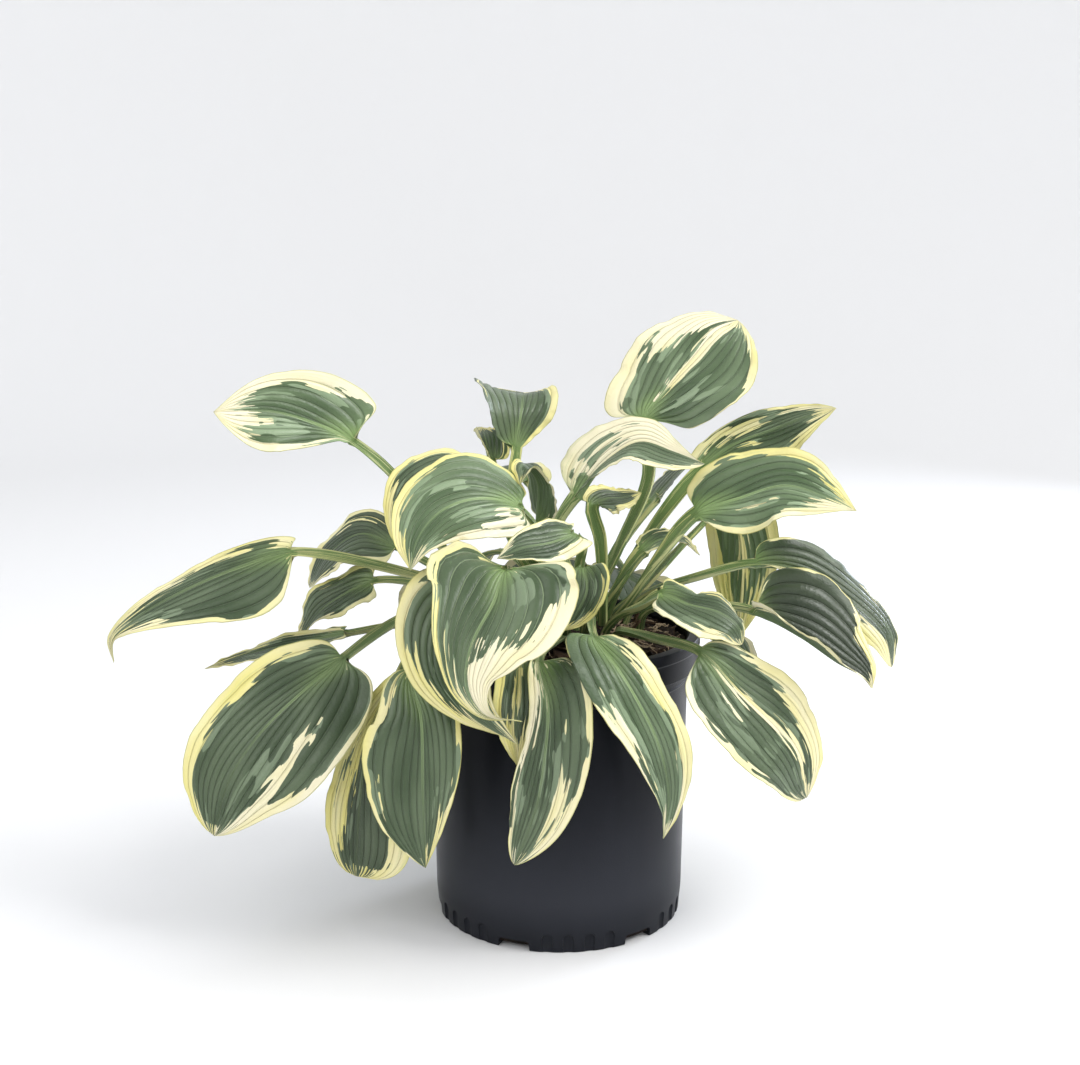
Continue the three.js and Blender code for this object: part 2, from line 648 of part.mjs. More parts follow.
function potGeometry() {
  const bandFoot = POT_HEIGHT - RIM_BAND;
  const stepFoot = POT_HEIGHT - RIM_STEP;
  const shelf = POT_HEIGHT - 2 * WALL;
  const bandOut = RIM_RADIUS - RIM_STEP_OUT;
  const skirt = bandOut - WALL;
  const profile = [
    [0, 0],
    [FOOT_RADIUS - FOOT_CHAMFER, 0],
    [FOOT_RADIUS, FOOT_CHAMFER],
    [FOOT_RADIUS + FOOT_FLARE, FOOT_HEIGHT - WALL],
    [bodyRadius(FOOT_HEIGHT), FOOT_HEIGHT],
    [bodyRadius(shelf), shelf],
    [skirt, shelf],
    [skirt, bandFoot],
    [bandOut, bandFoot],
    [bandOut, stepFoot - RIM_STEP_OUT],
    [RIM_RADIUS, stepFoot],
    [RIM_RADIUS, POT_HEIGHT - LIP],
    [RIM_RADIUS - LIP, POT_HEIGHT],
    [bodyRadius(POT_HEIGHT) + LIP, POT_HEIGHT],
    [bodyRadius(shelf) - WALL, shelf],
    [bodyRadius(FOOT_HEIGHT) - WALL, FOOT_HEIGHT],
    [FOOT_RADIUS - WALL - FOOT_CHAMFER, FLOOR],
    [0, FLOOR],
  ];
  const lathe = new THREE.LatheGeometry(profile.map(([r, z]) => new THREE.Vector2(r, z)), POT_SIDES);
  return lathe.rotateX(Math.PI / 2);
}

// A drain notch, as a block that reaches down past the foot and out past its side
function notchCutter(bearingDeg) {
  const outer = FOOT_RADIUS + CUT_PAST;
  const block = new THREE.BoxGeometry(outer - NOTCH_INNER_RADIUS, NOTCH_WIDTH, NOTCH_HEIGHT + CUT_PAST);
  block.translate((NOTCH_INNER_RADIUS + outer) / 2, 0, (NOTCH_HEIGHT - CUT_PAST) / 2);
  return block.rotateZ(rad(bearingDeg));
}

// An upright groove with a round top, as a cutter
function grooveCutter(bearingDeg) {
  const half = GROOVE_WIDTH / 2;
  const shape = new THREE.Shape();
  shape.moveTo(-half, -1);
  shape.lineTo(half, -1);
  shape.lineTo(half, GROOVE_HEIGHT - half);
  shape.absarc(0, GROOVE_HEIGHT - half, half, 0, Math.PI, false);
  const depth = CUT_PAST;
  const cutter = new THREE.ExtrudeGeometry(shape, { depth, bevelEnabled: false, curveSegments: 3 });
  cutter.rotateX(Math.PI / 2);
  cutter.rotateZ(Math.PI / 2);
  cutter.translate(FOOT_RADIUS + FOOT_FLARE - GROOVE_DEPTH, 0, 0);
  return cutter.rotateZ(rad(bearingDeg));
}

function makePot() {
  let pot = solid(potGeometry());
  const step = 360 / NOTCHES;
  for (let n = 0; n < NOTCHES; n++) {
    const bearing = NOTCH_FIRST_DEG + n * step;
    pot = pot.subtract(solid(notchCutter(bearing)));
    for (let g = 0; g < GROOVES_BETWEEN; g++) {
      const offset = (g - (GROOVES_BETWEEN - 1) / 2) * GROOVE_STEP_DEG;
      pot = pot.subtract(solid(grooveCutter(bearing + step / 2 + offset)));
    }
  }
  return geometryOf(pot);
}

// The soil: a mounded top, a side that follows the pot's wall, and a plain hole for every stalk
function makeSoil(rooted) {
  const inside = (z) => bodyRadius(z) - WALL - SOIL_GAP;
  const loft = new Loft();
  const ringAt = (radius, height) => {
    const ring = [];
    for (let i = 0; i < SOIL_SECTORS; i++) {
      const a = (-2 * Math.PI * i) / SOIL_SECTORS;
      const x = radius * Math.cos(a);
      const y = radius * Math.sin(a);
      ring.push({ point: new THREE.Vector3(x, y, height ?? soilHeight(x, y)), at: i / SOIL_SECTORS });
    }
    return ring;
  };
  const floor = FLOOR + SOIL_GAP;
  loft.ring(ringAt(FOOT_RADIUS - WALL - FOOT_CHAMFER - SOIL_GAP, floor));
  loft.ring(ringAt(inside(FOOT_HEIGHT), FOOT_HEIGHT));
  for (const r of [inside(SOIL_EDGE), ...[...SOIL_RADII].reverse()]) loft.ring(ringAt(r));
  const middle = new THREE.Vector3(0, 0, soilHeight(0, 0));
  const top = loft.add([{ point: middle }])[0].id;
  loft.last.forEach((p, i) => loft.faces.push([p.id, top, loft.last[(i + 1) % SOIL_SECTORS].id]));
  let soil = solid(loft.geometry());
  for (const piece of rooted) soil = soil.subtract(solid(holeFor(piece)));
  return geometryOf(soil);
}

// A dry stalk of last year, broken off short
function stubGeometry(stub) {
  const { stalkLine, left } = leafLines(stub);
  const loft = new Loft();
  for (let i = 0; i <= STUB_ROWS; i++) {
    const t = i / STUB_ROWS;
    loft.ring(stalkRing(frameAt(stalkLine, stalkLine.length * t, left, 0), mix(STUB_WIDE, t)));
  }
  loft.cap();
  return loft.geometry();
}

const group = new THREE.Group();

function addMesh(name, geometry, color, roughness) {
  const mesh = new THREE.Mesh(geometry, new THREE.MeshStandardMaterial({ color, roughness, metalness: 0 }));
  mesh.name = name;
  group.add(mesh);
}

addMesh("pot", makePot(), POT_BLACK, 0.45);
addMesh("soil", makeSoil([...LEAVES, ...STUBS]), SOIL_BROWN, 0.95);
for (const stub of STUBS) addMesh(stub.name, stubGeometry(stub), DRY_BROWN, 0.85);
for (const leaf of LEAVES) addMesh(leaf.name, leafGeometry(leaf), GREEN, 0.5);

export default group;
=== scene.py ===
"""A variegated hosta in a black nursery pot: finer leaves, pot, soil and dry stalks over the CAD frame."""

import math
import random

import bmesh
import bpy
import numpy as np
from mathutils import Euler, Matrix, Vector


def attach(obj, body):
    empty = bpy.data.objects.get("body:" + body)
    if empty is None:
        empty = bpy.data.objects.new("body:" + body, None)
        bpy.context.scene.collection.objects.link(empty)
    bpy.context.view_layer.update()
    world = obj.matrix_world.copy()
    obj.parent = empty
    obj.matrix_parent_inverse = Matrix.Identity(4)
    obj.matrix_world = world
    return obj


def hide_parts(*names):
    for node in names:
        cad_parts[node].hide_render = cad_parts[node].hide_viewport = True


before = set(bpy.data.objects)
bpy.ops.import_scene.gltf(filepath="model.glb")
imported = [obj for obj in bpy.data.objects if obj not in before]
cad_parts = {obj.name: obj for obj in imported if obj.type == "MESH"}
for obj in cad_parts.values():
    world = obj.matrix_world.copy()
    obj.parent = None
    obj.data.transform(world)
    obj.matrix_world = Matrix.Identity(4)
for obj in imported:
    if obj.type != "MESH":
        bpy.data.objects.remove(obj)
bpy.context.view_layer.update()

MM = 0.001
TURN = 2 * math.pi

# Pot, in mm
POT_HEIGHT = 229
RIM_RADIUS = 111
RIM_BAND = 24
RIM_STEP = 8
RIM_STEP_OUT = 0.8
WALL = 2
BODY_TOP_RADIUS = 102
BODY_FOOT_RADIUS = 99
FOOT_RADIUS = 97.5
FOOT_HEIGHT = 17
FOOT_FLARE = 0.6
FLOOR = 3
POT_SIDES = 240
POT_SHARP_DEG = 32
RIB_DOWN = 34
RIB_OUT = 0.5
NOTCHES = 6
NOTCH_FIRST_DEG = -111.5
NOTCH_WIDTH = 25
NOTCH_HEIGHT = 8
NOTCH_CORNER = 2.2
NOTCH_INNER_RADIUS = 76
GROOVES_BETWEEN = 4
GROOVE_STEP_DEG = 9.5
GROOVE_WIDTH = 8.5
GROOVE_HEIGHT = 15.5
GROOVE_DEPTH = 2.1
INNER_FOOT_RADIUS = FOOT_RADIUS - WALL - 1
INNER_FOOT_TOP = 20
INNER_WALL_FOOT = 27

# Soil, in mm
SOIL_EDGE = 219
SOIL_SINK = 1.5
SOIL_RINGS = 46
SOIL_SIDES = 168
MOUND = 17
MOUND_SPREAD = 62
SOIL_GAP = 0.6
CROWN = (18, 8)
CHIP_REACH = 97
ROOT_REACH = 96
STALK_CLEARANCE = 7
SOIL_WAVES = ((1.1, 9, 14, 34), (0.5, 12, 5, 10))
CHIP_SHARP_DEG = 38
CHIPS = 420
CHIP_SIZES = ((6, 20), (3, 8), (1.2, 3.2))
CRUMBS = 900
CRUMB_SIZES = ((1.5, 4.5), (1.2, 3), (0.8, 2))
ROOTS = 46
ROOTS_AT_RIGHT = 30
ROOT_STEP = 3

# Leaves, in mm
ROOT_DEPTH = 9
SOIL_END = 27
STALK_WIDE = 3.4
ROOT_WIDE = 4.4
STALK_DEEP = 0.72
STALK_THICK = 1.3 * STALK_DEEP
STALK_SPREAD = 28
LOBE_AT = 0.13
LOBE_BEND = 1.6
BASE_FADE = 8
RIGHT_WAVE_SHIFT = 0.37
LINE_STEPS = 96
BLADE_ROWS = 44
VEIN_OFFSETS = (0, 0.1, 0.32, 0.68, 0.9)
VEIN_COLUMNS = len(VEIN_OFFSETS)
VEIN_FAN = 1.3
VEINS_LEAST = 3.2
VEIN_SPACING = 13
SHARP_GROOVE = 0.085
BROAD_GROOVE = 0.075
MIDRIB_DEPTH = 0.9
MIDRIB_HALF = 2.2
MARGIN_WAVE = 0.55
MARGIN_WAVES = (7, 11.5)
RING_STEP = 5
EDGE_THICKNESS = 0.3
CORE_THICKNESS = 0.45
COMB_STEP = 0.045
STALK_FADE = 0.035
OUTSIDE = -20
INSIDE = 5
GREY_RIM = 1.5
PALE_MARK = 1
GREEN_MARK = 2
STUB_WIDE = (2.6, 1.7)
STUB_RINGS = 26
STUB_SIDES = 20
STUB_FIBRES = 7
FIBRE_RADII = (0.55, 0.5, 0.42, 0.3, 0.12)

# Stage and camera, in m and radians
STAGE_FLAT = 2.4
STAGE_SWEEP = 1.4
STAGE_TOP = 2.6
STAGE_SIDES = 96
CAMERA_PLACE = (-0.01528, -1.25, 0.56)
CAMERA_TILT = 0.2


class Leaf:
    """Where a leaf leaves the crown, the points that its stalk and its midrib pass, and its form.

    On a blade, u goes from 0 at the base to 1 at the tip, and v from 0 at the midrib to 1 at the left margin
    and -1 at the right one, as seen on the upper face. Widths are in mm and angles in degrees.
    root: distance and bearing from the crown's middle
    wide, lobe, curl, form, tone, rim: on the left and on the right side
    roll, fold: at the base and at the tip; here and above, one number stands for both
    form: the powers of the outline's rise and fall
    wave: height, number and start of the margin's waves
    rim: width of the pale margin at even steps from base to tip
    marks: kind (0 for grey), u of both ends, v of both ends and half width of each streak
    tone: 0 for a cream margin and 1 for a yellow one
    comb: how far the margin's teeth reach into the green
    grey: how far the grey zone reaches past the pale one
    light, lines: how light the green is, partly the leaf's own tone and partly painted light and shade for
    how brightly the leaf is lit, and how pale its veins are
    """

    lobe, roll, fold, curl = 0.1, 0, (12, 4), -10
    form = ((0.6, 1.05), (0.6, 1.05))
    stalk_wide, stalk_rim = STALK_WIDE, 0.5
    marks, comb, light, lines, grey = (), 1, 1, 0.2, GREY_RIM

    def __init__(self, name, root, stalk, rib, **numbers):
        vars(self).update(numbers, name=name, root=root, stalk=stalk, rib=rib)
        for key in ("wide", "lobe", "roll", "curl", "tone"):
            value = getattr(self, key, 0)
            setattr(self, key, value if isinstance(value, tuple) else (value, value))


LEAVES = [
    Leaf("upper_left", (22, 186), [(-94, 4, 296), (-125, 0, 347)], [(-160, -6, 380), (-186, -14, 394),
         (-217, -26, 405), (-258, -44, 407)], wide=(33, 40), lobe=(0.05, 0.12), roll=(-62, -70),
         fold=(18, 6), wave=(3, 2, 0.1), form=((1.6, 1), (0.42, 1)), stalk_wide=3.9,
         rim=[(1, 1, 2, 3, 5, 6, 7, 9, 12, 15, 8), (1, 3, 8, 17, 15, 11, 9, 9, 10, 10, 5)],
         marks=[(1, 0.62, 1.02, 0.3, 0.2, 4), (1, 0.72, 1.03, 0.04, 0, 4), (0, 0.3, 0.75, 0.6, 0.5, 4)],
         tone=0.15, comb=1.3, light=1.45, lines=0.35),
    Leaf("left_long", (34, 181), [(-63, 0, 256), (-119, -4, 275)], [(-209, -6, 292), (-246, -14, 283),
         (-292, -24, 265), (-325, -34, 247), (-344, -38, 230), (-343, -40, 212)], wide=(46, 15),
         lobe=(0.04, 0.1), roll=(-58, -62), fold=(20, 8), curl=(-10, -12), wave=(4, 2, 0.3),
         form=((0.7, 1.9), (0.5, 1)), stalk_wide=4.2, stalk_rim=2, rim=[(2, 3, 4, 4, 4, 5, 6, 6, 5, 4, 3),
         (8, 6, 4, 4, 5, 6, 6, 5, 4, 4, 3)], marks=[(0, 0.5, 0.85, 0.5, 0.55, 4),
         (1, 0.62, 0.8, 0.68, 0.7, 1.6)], tone=(0.5, 0.4), comb=0.7, light=0.95),
    Leaf("low_left_big", (46, 200), [(-70, -16, 262), (-127, -30, 242)], [(-166, -44, 217),
         (-199, -62, 193), (-229, -76, 164), (-250, -84, 132), (-262, -84, 89)], wide=(64, 48),
         lobe=(0.12, 0.06), roll=-50, fold=(10, 4), curl=-14, wave=(4, 2, 0.4),
         form=((0.7, 0.8), (0.65, 0.6)), stalk_wide=4.2, rim=[(1, 1, 1.2, 1.5, 2.5, 5, 9, 13, 14, 10, 3),
         (2, 4, 8, 11, 13, 13, 12, 11, 9, 7, 2)], marks=[(1, 0.3, 1, 0.46, 0.72, 5.5),
         (0, 0.26, 0.95, 0.34, 0.42, 7)], tone=(0.15, 0.75), light=0.95),
    Leaf("low_left_sliver", (46, 186), [(-64, 6, 238), (-112, 8, 233)], [(-170, 0, 225), (-214, -2, 217),
         (-253, -6, 208), (-280, -10, 199)], wide=(26, 12), roll=-15, fold=(20, 8), wave=(2, 2, 0),
         rim=[(3, 3, 4, 4, 4), (3, 3, 4, 4, 3)], tone=(0.7, 0.8), comb=0.7),
    Leaf("low_left_second", (46, 228), [(-83, -70, 252)], [(-110, -92, 221), (-102, -112, 191),
         (-101, -120, 136), (-100, -114, 76)], wide=(29, 46), lobe=0.05, roll=-40, fold=(10, 6),
         curl=(-22, -26), wave=(3, 2, 0.2), form=((0.6, 1.05), (0.9, 0.9)),
         rim=[(1, 1, 1, 1, 2, 2, 3, 5, 6, 4, 1.5), (3, 4, 4, 4, 3, 3, 3, 4, 4, 3, 1)],
         marks=[(1, 0.55, 0.75, -0.78, -0.8, 0.8), (1, 0.6, 0.85, 0.55, 0.6, 1.2)], tone=(0.8, 0.7),
         comb=0.9, light=1.05),
    Leaf("low_left_third", (46, 214), [(-96, -42, 240)], [(-127, -50, 199), (-146, -56, 159),
         (-154, -62, 108), (-158, -62, 47)], wide=(48, 28), lobe=0.12, roll=-48, fold=(12, 8),
         curl=(-16, -14), wave=(3, 2, 0.5), form=((1.2, 0.4), (1.2, 0.5)),
         rim=[(3, 3, 3, 3, 4, 6, 12, 16, 20, 18, 6), (6, 8, 10, 14, 17, 18, 18, 17, 14, 7, 0.5)],
         marks=[(2, 0.35, 0.62, -0.6, -0.62, 2)], tone=(0.7, 0.9), comb=1.5, light=0.8),
    Leaf("centre_left_dome", (22, 218), [(-6, -15, 287)], [(-30, -36, 333), (-60, -55, 344),
         (-88, -69, 337), (-105, -82, 318), (-110, -89, 296)], wide=(34, 46), lobe=0.18, roll=(-46, -50),
         fold=(10, 2), curl=(-20, -36), wave=(3, 2, 0.2), rim=[(6, 8, 8, 7, 6, 5, 5, 5, 5, 4, 2),
         (3, 4, 5, 5, 6, 7, 9, 10, 8, 5, 2)], marks=[(1, 0.06, 0.34, 0.5, 0.7, 7),
         (1, 0.1, 0.25, 0.35, 0.45, 3), (0, 0.03, 0.5, 0.35, 0.5, 9), (0, 0.3, 0.7, -0.3, -0.5, 7)],
         tone=(0.1, 0.75), comb=1.4, light=1.45, lines=0.6),
    Leaf("centre_left_back", (22, 160), [(-33, 6, 290)], [(-58, 4, 342), (-84, -8, 361), (-112, -26, 350),
         (-124, -38, 326), (-122, -48, 303)], wide=(30, 23), lobe=0.12, roll=-40, fold=(8, 0), curl=-24,
         wave=(3, 2, 0.6), rim=[(4, 5, 5, 5, 4), (4, 6, 8, 7, 6, 6, 7, 8, 7, 5, 3)], tone=(0.6, 0.8),
         comb=0.9),
    Leaf("front_heart", (34, 246), [(-6, -76, 276)], [(-39, -122, 304), (-48, -144, 286), (-63, -162, 259),
         (-66, -170, 233), (-54, -174, 214), (-27, -172, 208)], wide=(58, 57), lobe=(0.22, 0.27),
         roll=(0, -10), fold=(14, 6), curl=(-18, -14), wave=(3, 2, 0.1), form=((0.9, 2.35), (0.6, 2.55)),
         rim=[(3, 4, 5, 10, 30, 44, 30, 16, 9, 5, 2), (4, 6, 8, 7, 5, 4, 4, 4, 4, 3, 2)],
         marks=[(0, 0.06, 0.36, 0.35, 0.3, 8), (1, 0.5, 0.86, -0.62, -0.5, 1.8)], tone=(0.1, 0.6), comb=1.5,
         light=1.08, lines=0.75),
    Leaf("front_left_under", (34, 226), [(-26, -54, 262)], [(-58, -84, 280), (-82, -104, 262),
         (-86, -118, 232), (-68, -130, 202), (-31, -134, 178)], wide=(38, 43), lobe=0.12, roll=(0, -10),
         fold=(8, 6), curl=-14, wave=(3, 2, 0.5), form=((0.6, 1.05), (0.6, 2.2)), rim=[(4, 4, 4, 4, 3),
         (3, 6, 8, 9, 10, 10, 9, 8, 6, 4, 2)], marks=[(0, 0.1, 0.45, -0.72, -0.75, 5),
         (1, 0.42, 0.6, -0.55, -0.7, 2.5)], tone=(0.5, 0.65), comb=1.1),
    Leaf("front_low_back", (46, 242), [(-10, -80, 250)], [(-28, -106, 242), (-31, -122, 214),
         (-33, -124, 185), (-31, -122, 157)], wide=20, roll=-30, fold=(24, 16), wave=(2, 2, 0.3),
         rim=[(8, 8, 8, 8, 6), (9, 9, 9, 8, 6)], marks=[(1, 0.1, 0.9, 0, 0, 1.6)], tone=(0.8, 0.9),
         comb=1.2, light=0.9),
    Leaf("small_curl", (22, 254), [(14, -34, 285), (16, -72, 314)], [(10, -92, 324), (-8, -106, 321),
         (-28, -116, 319), (-46, -120, 312)], wide=(17, 19), lobe=(0.2, 0.34), roll=-25, fold=(4, 0),
         curl=(-20, 10), wave=(4, 1, 0.3), rim=[(3, 7, 8, 6, 3, 2, 2, 2, 2), (3, 2, 2, 2, 2)], tone=0.3,
         comb=0.8),
    Leaf("front_right_under", (34, 272), [(18, -40, 268)], [(17, -60, 292), (19, -80, 279), (10, -86, 261),
         (-1, -87, 250)], wide=(18, 20), lobe=0.14, roll=10, fold=(10, 6), curl=-20, wave=(2, 2, 0.2),
         rim=[(4, 4, 5, 4, 3), (3, 3, 3, 3, 3)], tone=(0.8, 0.7), comb=0.7),
    Leaf("front_bottom", (46, 256), [(-4, -92, 244)], [(-16, -124, 238), (-10, -138, 211), (-12, -142, 172),
         (-19, -138, 129), (-34, -130, 85)], wide=(34, 20), lobe=0.08, roll=-6, fold=(10, 6), curl=-20,
         wave=(4, 2, 0.6), form=((0.45, 0.75), (1, 0.7)), rim=[(1.5, 1.5, 2, 2, 3, 3, 4, 9, 8, 5, 2),
         (6, 8, 8, 7, 5, 3, 2, 2, 2, 2, 1)], marks=[(1, 0.33, 0.85, 0.5, 0.62, 3.2),
         (0, 0.25, 0.7, 0.3, 0.36, 5), (2, 0.3, 0.66, 0.8, 0.86, 1.6)], tone=(0.25, 0.2), comb=1.4),
    Leaf("front_right", (46, 273), [(22, -74, 256)], [(24, -102, 250), (40, -126, 234), (54, -134, 212),
         (70, -134, 178), (78, -128, 138), (75, -122, 102)], wide=(26, 34), lobe=0.05, roll=(0, 10),
         fold=(16, 10), curl=(-14, -20), wave=(4, 2, 0.9), form=((0.6, 0.9), (0.5, 1.4)),
         rim=[(2, 5, 11, 13, 11, 9, 9, 9, 7, 4, 2), (2, 2, 2, 2, 3, 5, 5, 2, 1.5, 1, 0.8)],
         marks=[(1, 0.3, 0.62, -0.7, -0.88, 3.6), (0, 0.15, 0.6, -0.4, -0.6, 7)], tone=(0.45, 0.25),
         comb=1.3, light=1.25),
    Leaf("low_right", (46, 302), [(46, -56, 242), (74, -70, 239)], [(104, -78, 232), (135, -78, 200),
         (164, -76, 171), (180, -72, 147), (189, -66, 113)], wide=(36, 46), lobe=(0.04, 0.05),
         roll=(48, 40), fold=(12, 6), curl=-8, wave=(3, 2, 0.3), form=((0.8, 0.8), (0.35, 0.5)),
         stalk_wide=4, rim=[(1, 2, 3, 6, 12, 16, 18, 18, 14, 9, 4), (4, 5, 6, 5, 4, 4, 4, 5, 5, 4, 2)],
         marks=[(1, 0.06, 0.95, -0.1, 0.12, 3.4), (1, 0.05, 0.35, -0.32, -0.34, 1.2),
         (0, 0.1, 0.6, -0.4, -0.5, 8), (2, 0.3, 0.62, 0.52, 0.55, 1.5)], tone=(0.45, 0.25), comb=1.2,
         light=0.95),
    Leaf("mid_right_small", (34, 300), [(46, -30, 248), (62, -38, 257)], [(77, -46, 268), (97, -60, 264),
         (119, -70, 260), (132, -74, 251), (136, -72, 236)], wide=(17, 31), roll=(30, 20), fold=(20, 6),
         curl=(-30, -20), wave=(4, 2, 0.2), form=((0.5, 0.9), (0.7, 0.7)), stalk_wide=6,
         rim=[(1, 1, 1, 1.5, 2, 2, 2, 2, 2, 2, 2), (2, 2, 3, 4, 6, 9, 10, 9, 7, 5, 3)], tone=(0.6, 0.35),
         comb=0.8),
    Leaf("right_long", (34, 2), [(64, 10, 252), (111, 8, 270)], [(155, 8, 280), (188, 6, 276),
         (226, 0, 254), (257, -6, 225), (262, -10, 200)], wide=(28, 20), lobe=0.02, roll=30, fold=(34, 4),
         curl=(-20, -75), wave=(3, 1, 0.2), form=((0.45, 0.6), (1.5, 0.7)), stalk_wide=4.2,
         rim=[(1, 1, 1, 1, 1.5, 1.5, 2, 2, 2, 2, 2), (2, 2, 2, 2, 3, 5, 9, 12, 12, 10, 5)],
         marks=[(0, 0.55, 0.95, 0.6, 0.6, 4)], tone=0.4, comb=0.8, light=0.66),
    # right_under's low light is painted shade, for the shadow of right_long over it
    Leaf("right_under", (46, 350), [(68, -8, 246), (110, -18, 254)], [(150, -34, 252), (183, -48, 237),
         (210, -58, 219), (229, -60, 208), (237, -60, 198)], wide=(54, 30), roll=10, fold=(46, 30),
         wave=(3, 2, 0.7), form=((0.6, 0.9), (0.6, 1.05)), stalk_wide=4,
         rim=[(0.5, 0.5, 0.5, 0.5, 1, 3, 6, 9, 10, 8, 5), (9, 9, 9, 9, 8, 8, 8, 7, 6, 5, 3)],
         tone=(0.4, 0.3), light=0.42),
    Leaf("right_back_hanging", (34, 40), [(66, 40, 250), (112, 60, 296)], [(142, 80, 318), (154, 92, 282),
         (156, 98, 237), (154, 98, 193)], wide=32, roll=(-30, -40), fold=(10, 6), wave=(3, 2, 0.4),
         rim=[(12, 12, 11, 11, 12, 12, 10), (12, 11, 10, 10, 12, 12, 10)],
         marks=[(1, 0.15, 1, -0.05, -0.05, 2.6), (1, 0.2, 0.9, 0.5, 0.5, 1.2)], tone=0.8, comb=1.6,
         light=1.25),
    Leaf("right_upper", (24, 352), [(54, -2, 252), (78, -5, 289)], [(107, -4, 323), (139, -14, 337),
         (171, -28, 349), (200, -38, 342), (223, -44, 332)], wide=(38, 34), lobe=(0.06, 0.02),
         roll=(50, 55), fold=(14, 6), curl=(-16, -14), wave=(4, 2, 0.8), form=((0.6, 1.05), (0.8, 1.2)),
         stalk_wide=7, rim=[(3, 4, 4, 4, 4, 5, 7, 8, 7, 6, 4), (3, 4, 4, 3, 3, 3, 6, 9, 12, 13, 8)],
         marks=[(0, 0.2, 0.6, -0.2, -0.25, 5), (1, 0.3, 0.5, -0.3, -0.3, 0.8)], tone=(0.7, 0.35), comb=1.2,
         light=1.6),
    Leaf("right_upper_back", (22, 24), [(50, 20, 264), (82, 35, 312)], [(117, 50, 351), (141, 56, 368),
         (173, 58, 380), (197, 54, 390), (222, 50, 398)], wide=(18, 34), lobe=0.14, roll=60, fold=(16, 8),
         wave=(5, 2, 0.2), form=((0.6, 0.8), (0.6, 1.05)), stalk_wide=6,
         rim=[(5, 6, 4, 3, 3, 3, 3, 4, 5, 5, 4), (7, 7, 7, 7, 7, 8, 9, 9, 8, 7, 4)],
         marks=[(1, 0.22, 0.55, 0.35, 0.6, 3), (1, 0.3, 0.5, -0.2, -0.1, 1.2)], tone=(0.5, 0.65), comb=1.3,
         light=1.1),
    Leaf("top_round", (11, 60), [(48, 24, 290), (72, 36, 346)], [(68, 40, 391), (84, 44, 413),
         (104, 52, 436), (125, 64, 458), (145, 80, 466)], wide=(50, 60), lobe=(0.14, 0), roll=30,
         fold=(8, 4), curl=-8, wave=(3, 2, 0.2), form=((0.6, 0.8), (0.6, 0.7)), stalk_wide=6.2,
         rim=[(2, 6, 12, 16, 20, 24, 27, 28, 24, 15, 4), (1, 2, 3, 3, 3, 4, 5, 6, 9, 12, 6)],
         marks=[(1, 0.2, 1.04, 0.03, -0.12, 5), (2, 0.35, 0.66, 0.66, 0.64, 1.6),
         (2, 0.3, 0.52, 0.84, 0.82, 1.4), (0, 0.15, 0.6, -0.35, -0.5, 7), (0, 0.05, 0.3, 0.6, 0.7, 6)],
         tone=(0.1, 0.4), comb=1.6, light=1.35),
    Leaf("centre_arch", (11, 290), [(10, -8, 262), (-4, -12, 308)], [(12, -20, 340), (35, -24, 368),
         (60, -30, 383), (84, -38, 377), (108, -44, 368)], wide=(35, 32), lobe=0.02, roll=40, fold=(30, 20),
         curl=(-20, -10), wave=(2, 1, 0.2), form=((0.5, 1.6), (0.8, 0.7)), stalk_wide=6,
         rim=[(8, 30, 36, 36, 34, 30, 26, 20, 12, 7, 3), (2, 2, 2, 2, 3, 4, 6, 8, 8, 6, 3)],
         marks=[(2, 0.1, 0.5, 0.5, 0.56, 2.2), (2, 0.12, 0.62, 0.2, 0.28, 2.6),
         (2, 0.3, 0.5, 0.75, 0.78, 0.8)], tone=(0, 0.15), comb=1.3, light=1.1),
    Leaf("top_left_heart", (11, 130), [(-23, 16, 281), (-37, 26, 336)], [(-34, 36, 369), (-30, 44, 396),
         (-29, 62, 406), (-28, 90, 406)], wide=(42, 29), lobe=0, fold=(14, 6), curl=(20, 10),
         wave=(4, 1, 0.2), form=((0.42, 0.35), (0.9, 0.7)), stalk_wide=5, rim=[(1, 1, 1, 1, 1.5, 2, 2),
         (2, 3, 5, 6, 7, 8, 8)], tone=0.6, comb=0.8),
    Leaf("back_left_fold", (22, 126), [(-19, 30, 280), (-48, 46, 334)], [(-54, 54, 355), (-60, 66, 371),
         (-64, 88, 378)], wide=(12, 18), fold=(30, 20), curl=10, wave=(2, 1, 0.2), rim=[(4, 4, 4),
         (4, 5, 6)], tone=0.8, comb=0.8),
    Leaf("inner_green_arch", (0, 0), [(-6, 10, 283)], [(-14, 15, 315), (-16, 8, 346), (-25, -5, 358),
         (-31, -17, 347)], wide=(22, 26), fold=(20, 10), curl=-20, wave=(2, 1, 0.2), stalk_wide=5,
         rim=[(5, 5, 4, 4, 3), (3, 3, 4, 4, 3)], tone=(0.3, 0.7), comb=0.8),
    Leaf("left_back_upper", (34, 158), [(-64, 30, 253)], [(-133, 54, 284), (-162, 64, 293), (-189, 66, 276),
         (-206, 64, 247)], wide=(36, 25), lobe=0.12, roll=(-40, -30), fold=(14, 6), curl=-14,
         wave=(4, 2, 0.2), form=((0.6, 0.8), (0.6, 0.4)), rim=[(6, 6, 6, 5, 4),
         (3, 3, 3, 3, 4, 6, 9, 10, 10, 8, 4)], marks=[(1, 0.3, 0.8, -0.5, -0.6, 0.9)], tone=(0.4, 0.5),
         light=0.8),
    Leaf("left_back_lower", (46, 168), [(-63, 20, 247), (-112, 28, 259)], [(-150, 34, 260), (-179, 34, 246),
         (-195, 30, 234), (-211, 24, 210)], wide=24, lobe=0.12, roll=(-40, -30), fold=(14, 6), curl=-14,
         wave=(4, 2, 0.7), form=((0.6, 1.6), (0.6, 0.7)), rim=[(5, 5, 4, 4, 3), (4, 4, 4, 4, 3)],
         tone=(0.4, 0.5), light=0.95),
